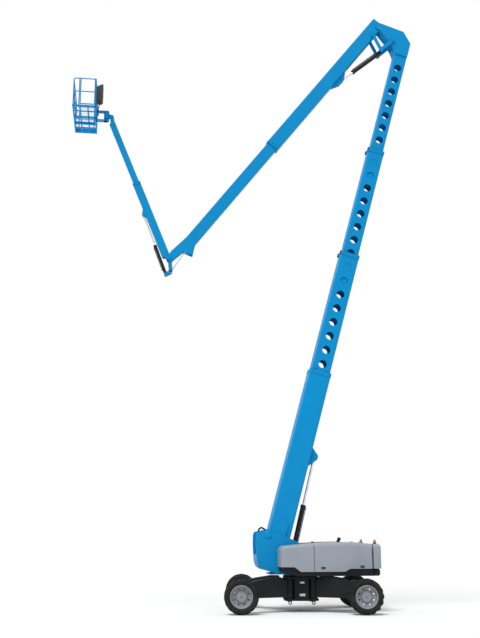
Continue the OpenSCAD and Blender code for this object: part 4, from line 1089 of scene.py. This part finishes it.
def console():
    """Console outside the inner rails: a box with a sloping panel, three sticks, a row of switches, a stop
    button and the conduit down to the floor's bracket."""
    box = [prism(BOX_SIDE + (BOX_X[0], BOX_Z[0]), *BOX_Y, platform)]
    box.append(blocks(BRACKETS, (0.06, 0.05, 0.03), platform))
    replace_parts(piece("console_box", box, "platform", black_plastic), "platform_console")
    middle = ((sum(BOX_X) - 0.06) / 2, sum(BOX_Y) / 2, BOX_Z[1] - 0.055)
    panel = place(world(middle, platform), PANEL_WAY @ platform[1], SIDE)
    plate = blocks((0, 0, PANEL_T / 2), (0.17, 0.34, PANEL_T), panel, 0.003)
    piece("console_panel", [plate], "platform", zinc)
    sticks = [lathe(STICK, (world((-0.02, y, PANEL_T), panel), panel[1]), 24) for y in (-0.11, 0.0, 0.11)]
    switches = bolts([(0.055, y, PANEL_T) for y in SWITCH_Y], panel, 0.007, 0.018, 8)
    piece("console_sticks", sticks + [switches], "platform", black_plastic)
    stop = lathe(STOP_BUTTON, (world((0.05, 0.12, PANEL_T), panel), panel[1]), 32)
    piece("console_stop_button", [stop], "platform", red_plastic)
    conduit = tube(world(CONDUIT, platform), 0.017)
    clips = blocks(CLIPS, (0.035, 0.03, 0.05), platform)
    piece("console_conduit", [conduit, clips], "platform", hose_rubber)


console()


# Studio

FLOOR_HALF, FLOOR_GLOW, SURROUND_LIGHT = 150.0, 0.03, 0.45
SUN_POWER, SUN_ANGLE, SUN_TURN = 2.4, 30, (28, 0, -25)
CAMERA_AT, CAMERA_PITCH, LENS_MM = (-2.1, -32.3, 2.57), 13.6, 50.2


def floor_sheet():
    """A wide pale floor that keeps the shadow; a faint glow, for the camera and for reflections, brings it
    to white."""
    signs = ((-1, -1), (1, -1), (1, 1), (-1, 1))
    mesh = bpy.data.meshes.new("floor")
    mesh.from_pydata([(FLOOR_HALF * x, FLOOR_HALF * y, 0) for x, y in signs], [], [(0, 1, 2, 3)])
    floor = show("floor", mesh)
    made, tree, shader = finish("pale_floor", Roughness=0.9, Base_Color=(0.88, 0.88, 0.88, 1),
                                Specular_IOR_Level=0.0)
    light = node(tree, "ShaderNodeLightPath").outputs
    seen = math_node(tree, "MAXIMUM", light["Is Camera Ray"], light["Is Glossy Ray"])
    share = math_node(tree, "MULTIPLY", seen, FLOOR_GLOW)
    glow = node(tree, "ShaderNodeEmission", [("Color", (1, 1, 1, 1)), ("Strength", share)])
    both = node(tree, "ShaderNodeAddShader", [(0, shader.outputs[0]), (1, glow.outputs[0])])
    tree.links.new(both.outputs[0], tree.nodes["Material Output"].inputs["Surface"])
    mesh.materials.append(made)


def surround():
    """A white world: full white where it is seen, softer where it lights the machine."""
    sky = bpy.data.worlds.new("surround")
    bpy.context.scene.world = sky
    sky.use_nodes = True
    tree = sky.node_tree
    back = tree.nodes["Background"]
    back.inputs["Color"].default_value = (1.0, 1.0, 1.0, 1)
    light = node(tree, "ShaderNodeLightPath").outputs
    seen = math_node(tree, "MAXIMUM", light["Is Camera Ray"], light["Is Glossy Ray"])
    seen = math_node(tree, "MAXIMUM", seen, light["Is Transmission Ray"])
    tree.links.new(ramp(tree, seen, 0.0, 1.0, SURROUND_LIGHT, 1.0), back.inputs["Strength"])


def sun():
    """One soft sun, high on the near side."""
    lamp = bpy.data.lights.new("key", "SUN")
    lamp.energy = SUN_POWER
    lamp.angle = math.radians(SUN_ANGLE)
    key = show("key", lamp)
    key.rotation_euler = [math.radians(a) for a in SUN_TURN]


def camera():
    """The photograph's view: low, square to the chassis, tilted up along the boom."""
    lens = bpy.data.cameras.new("camera")
    lens.lens = LENS_MM
    lens.clip_end = 500
    eye = show("camera", lens)
    eye.location = CAMERA_AT
    eye.rotation_euler = (math.radians(90 + CAMERA_PITCH), 0, 0)
    bpy.context.scene.camera = eye


bpy.context.scene.view_settings.view_transform = "Standard"
camera()
floor_sheet()
surround()
sun()
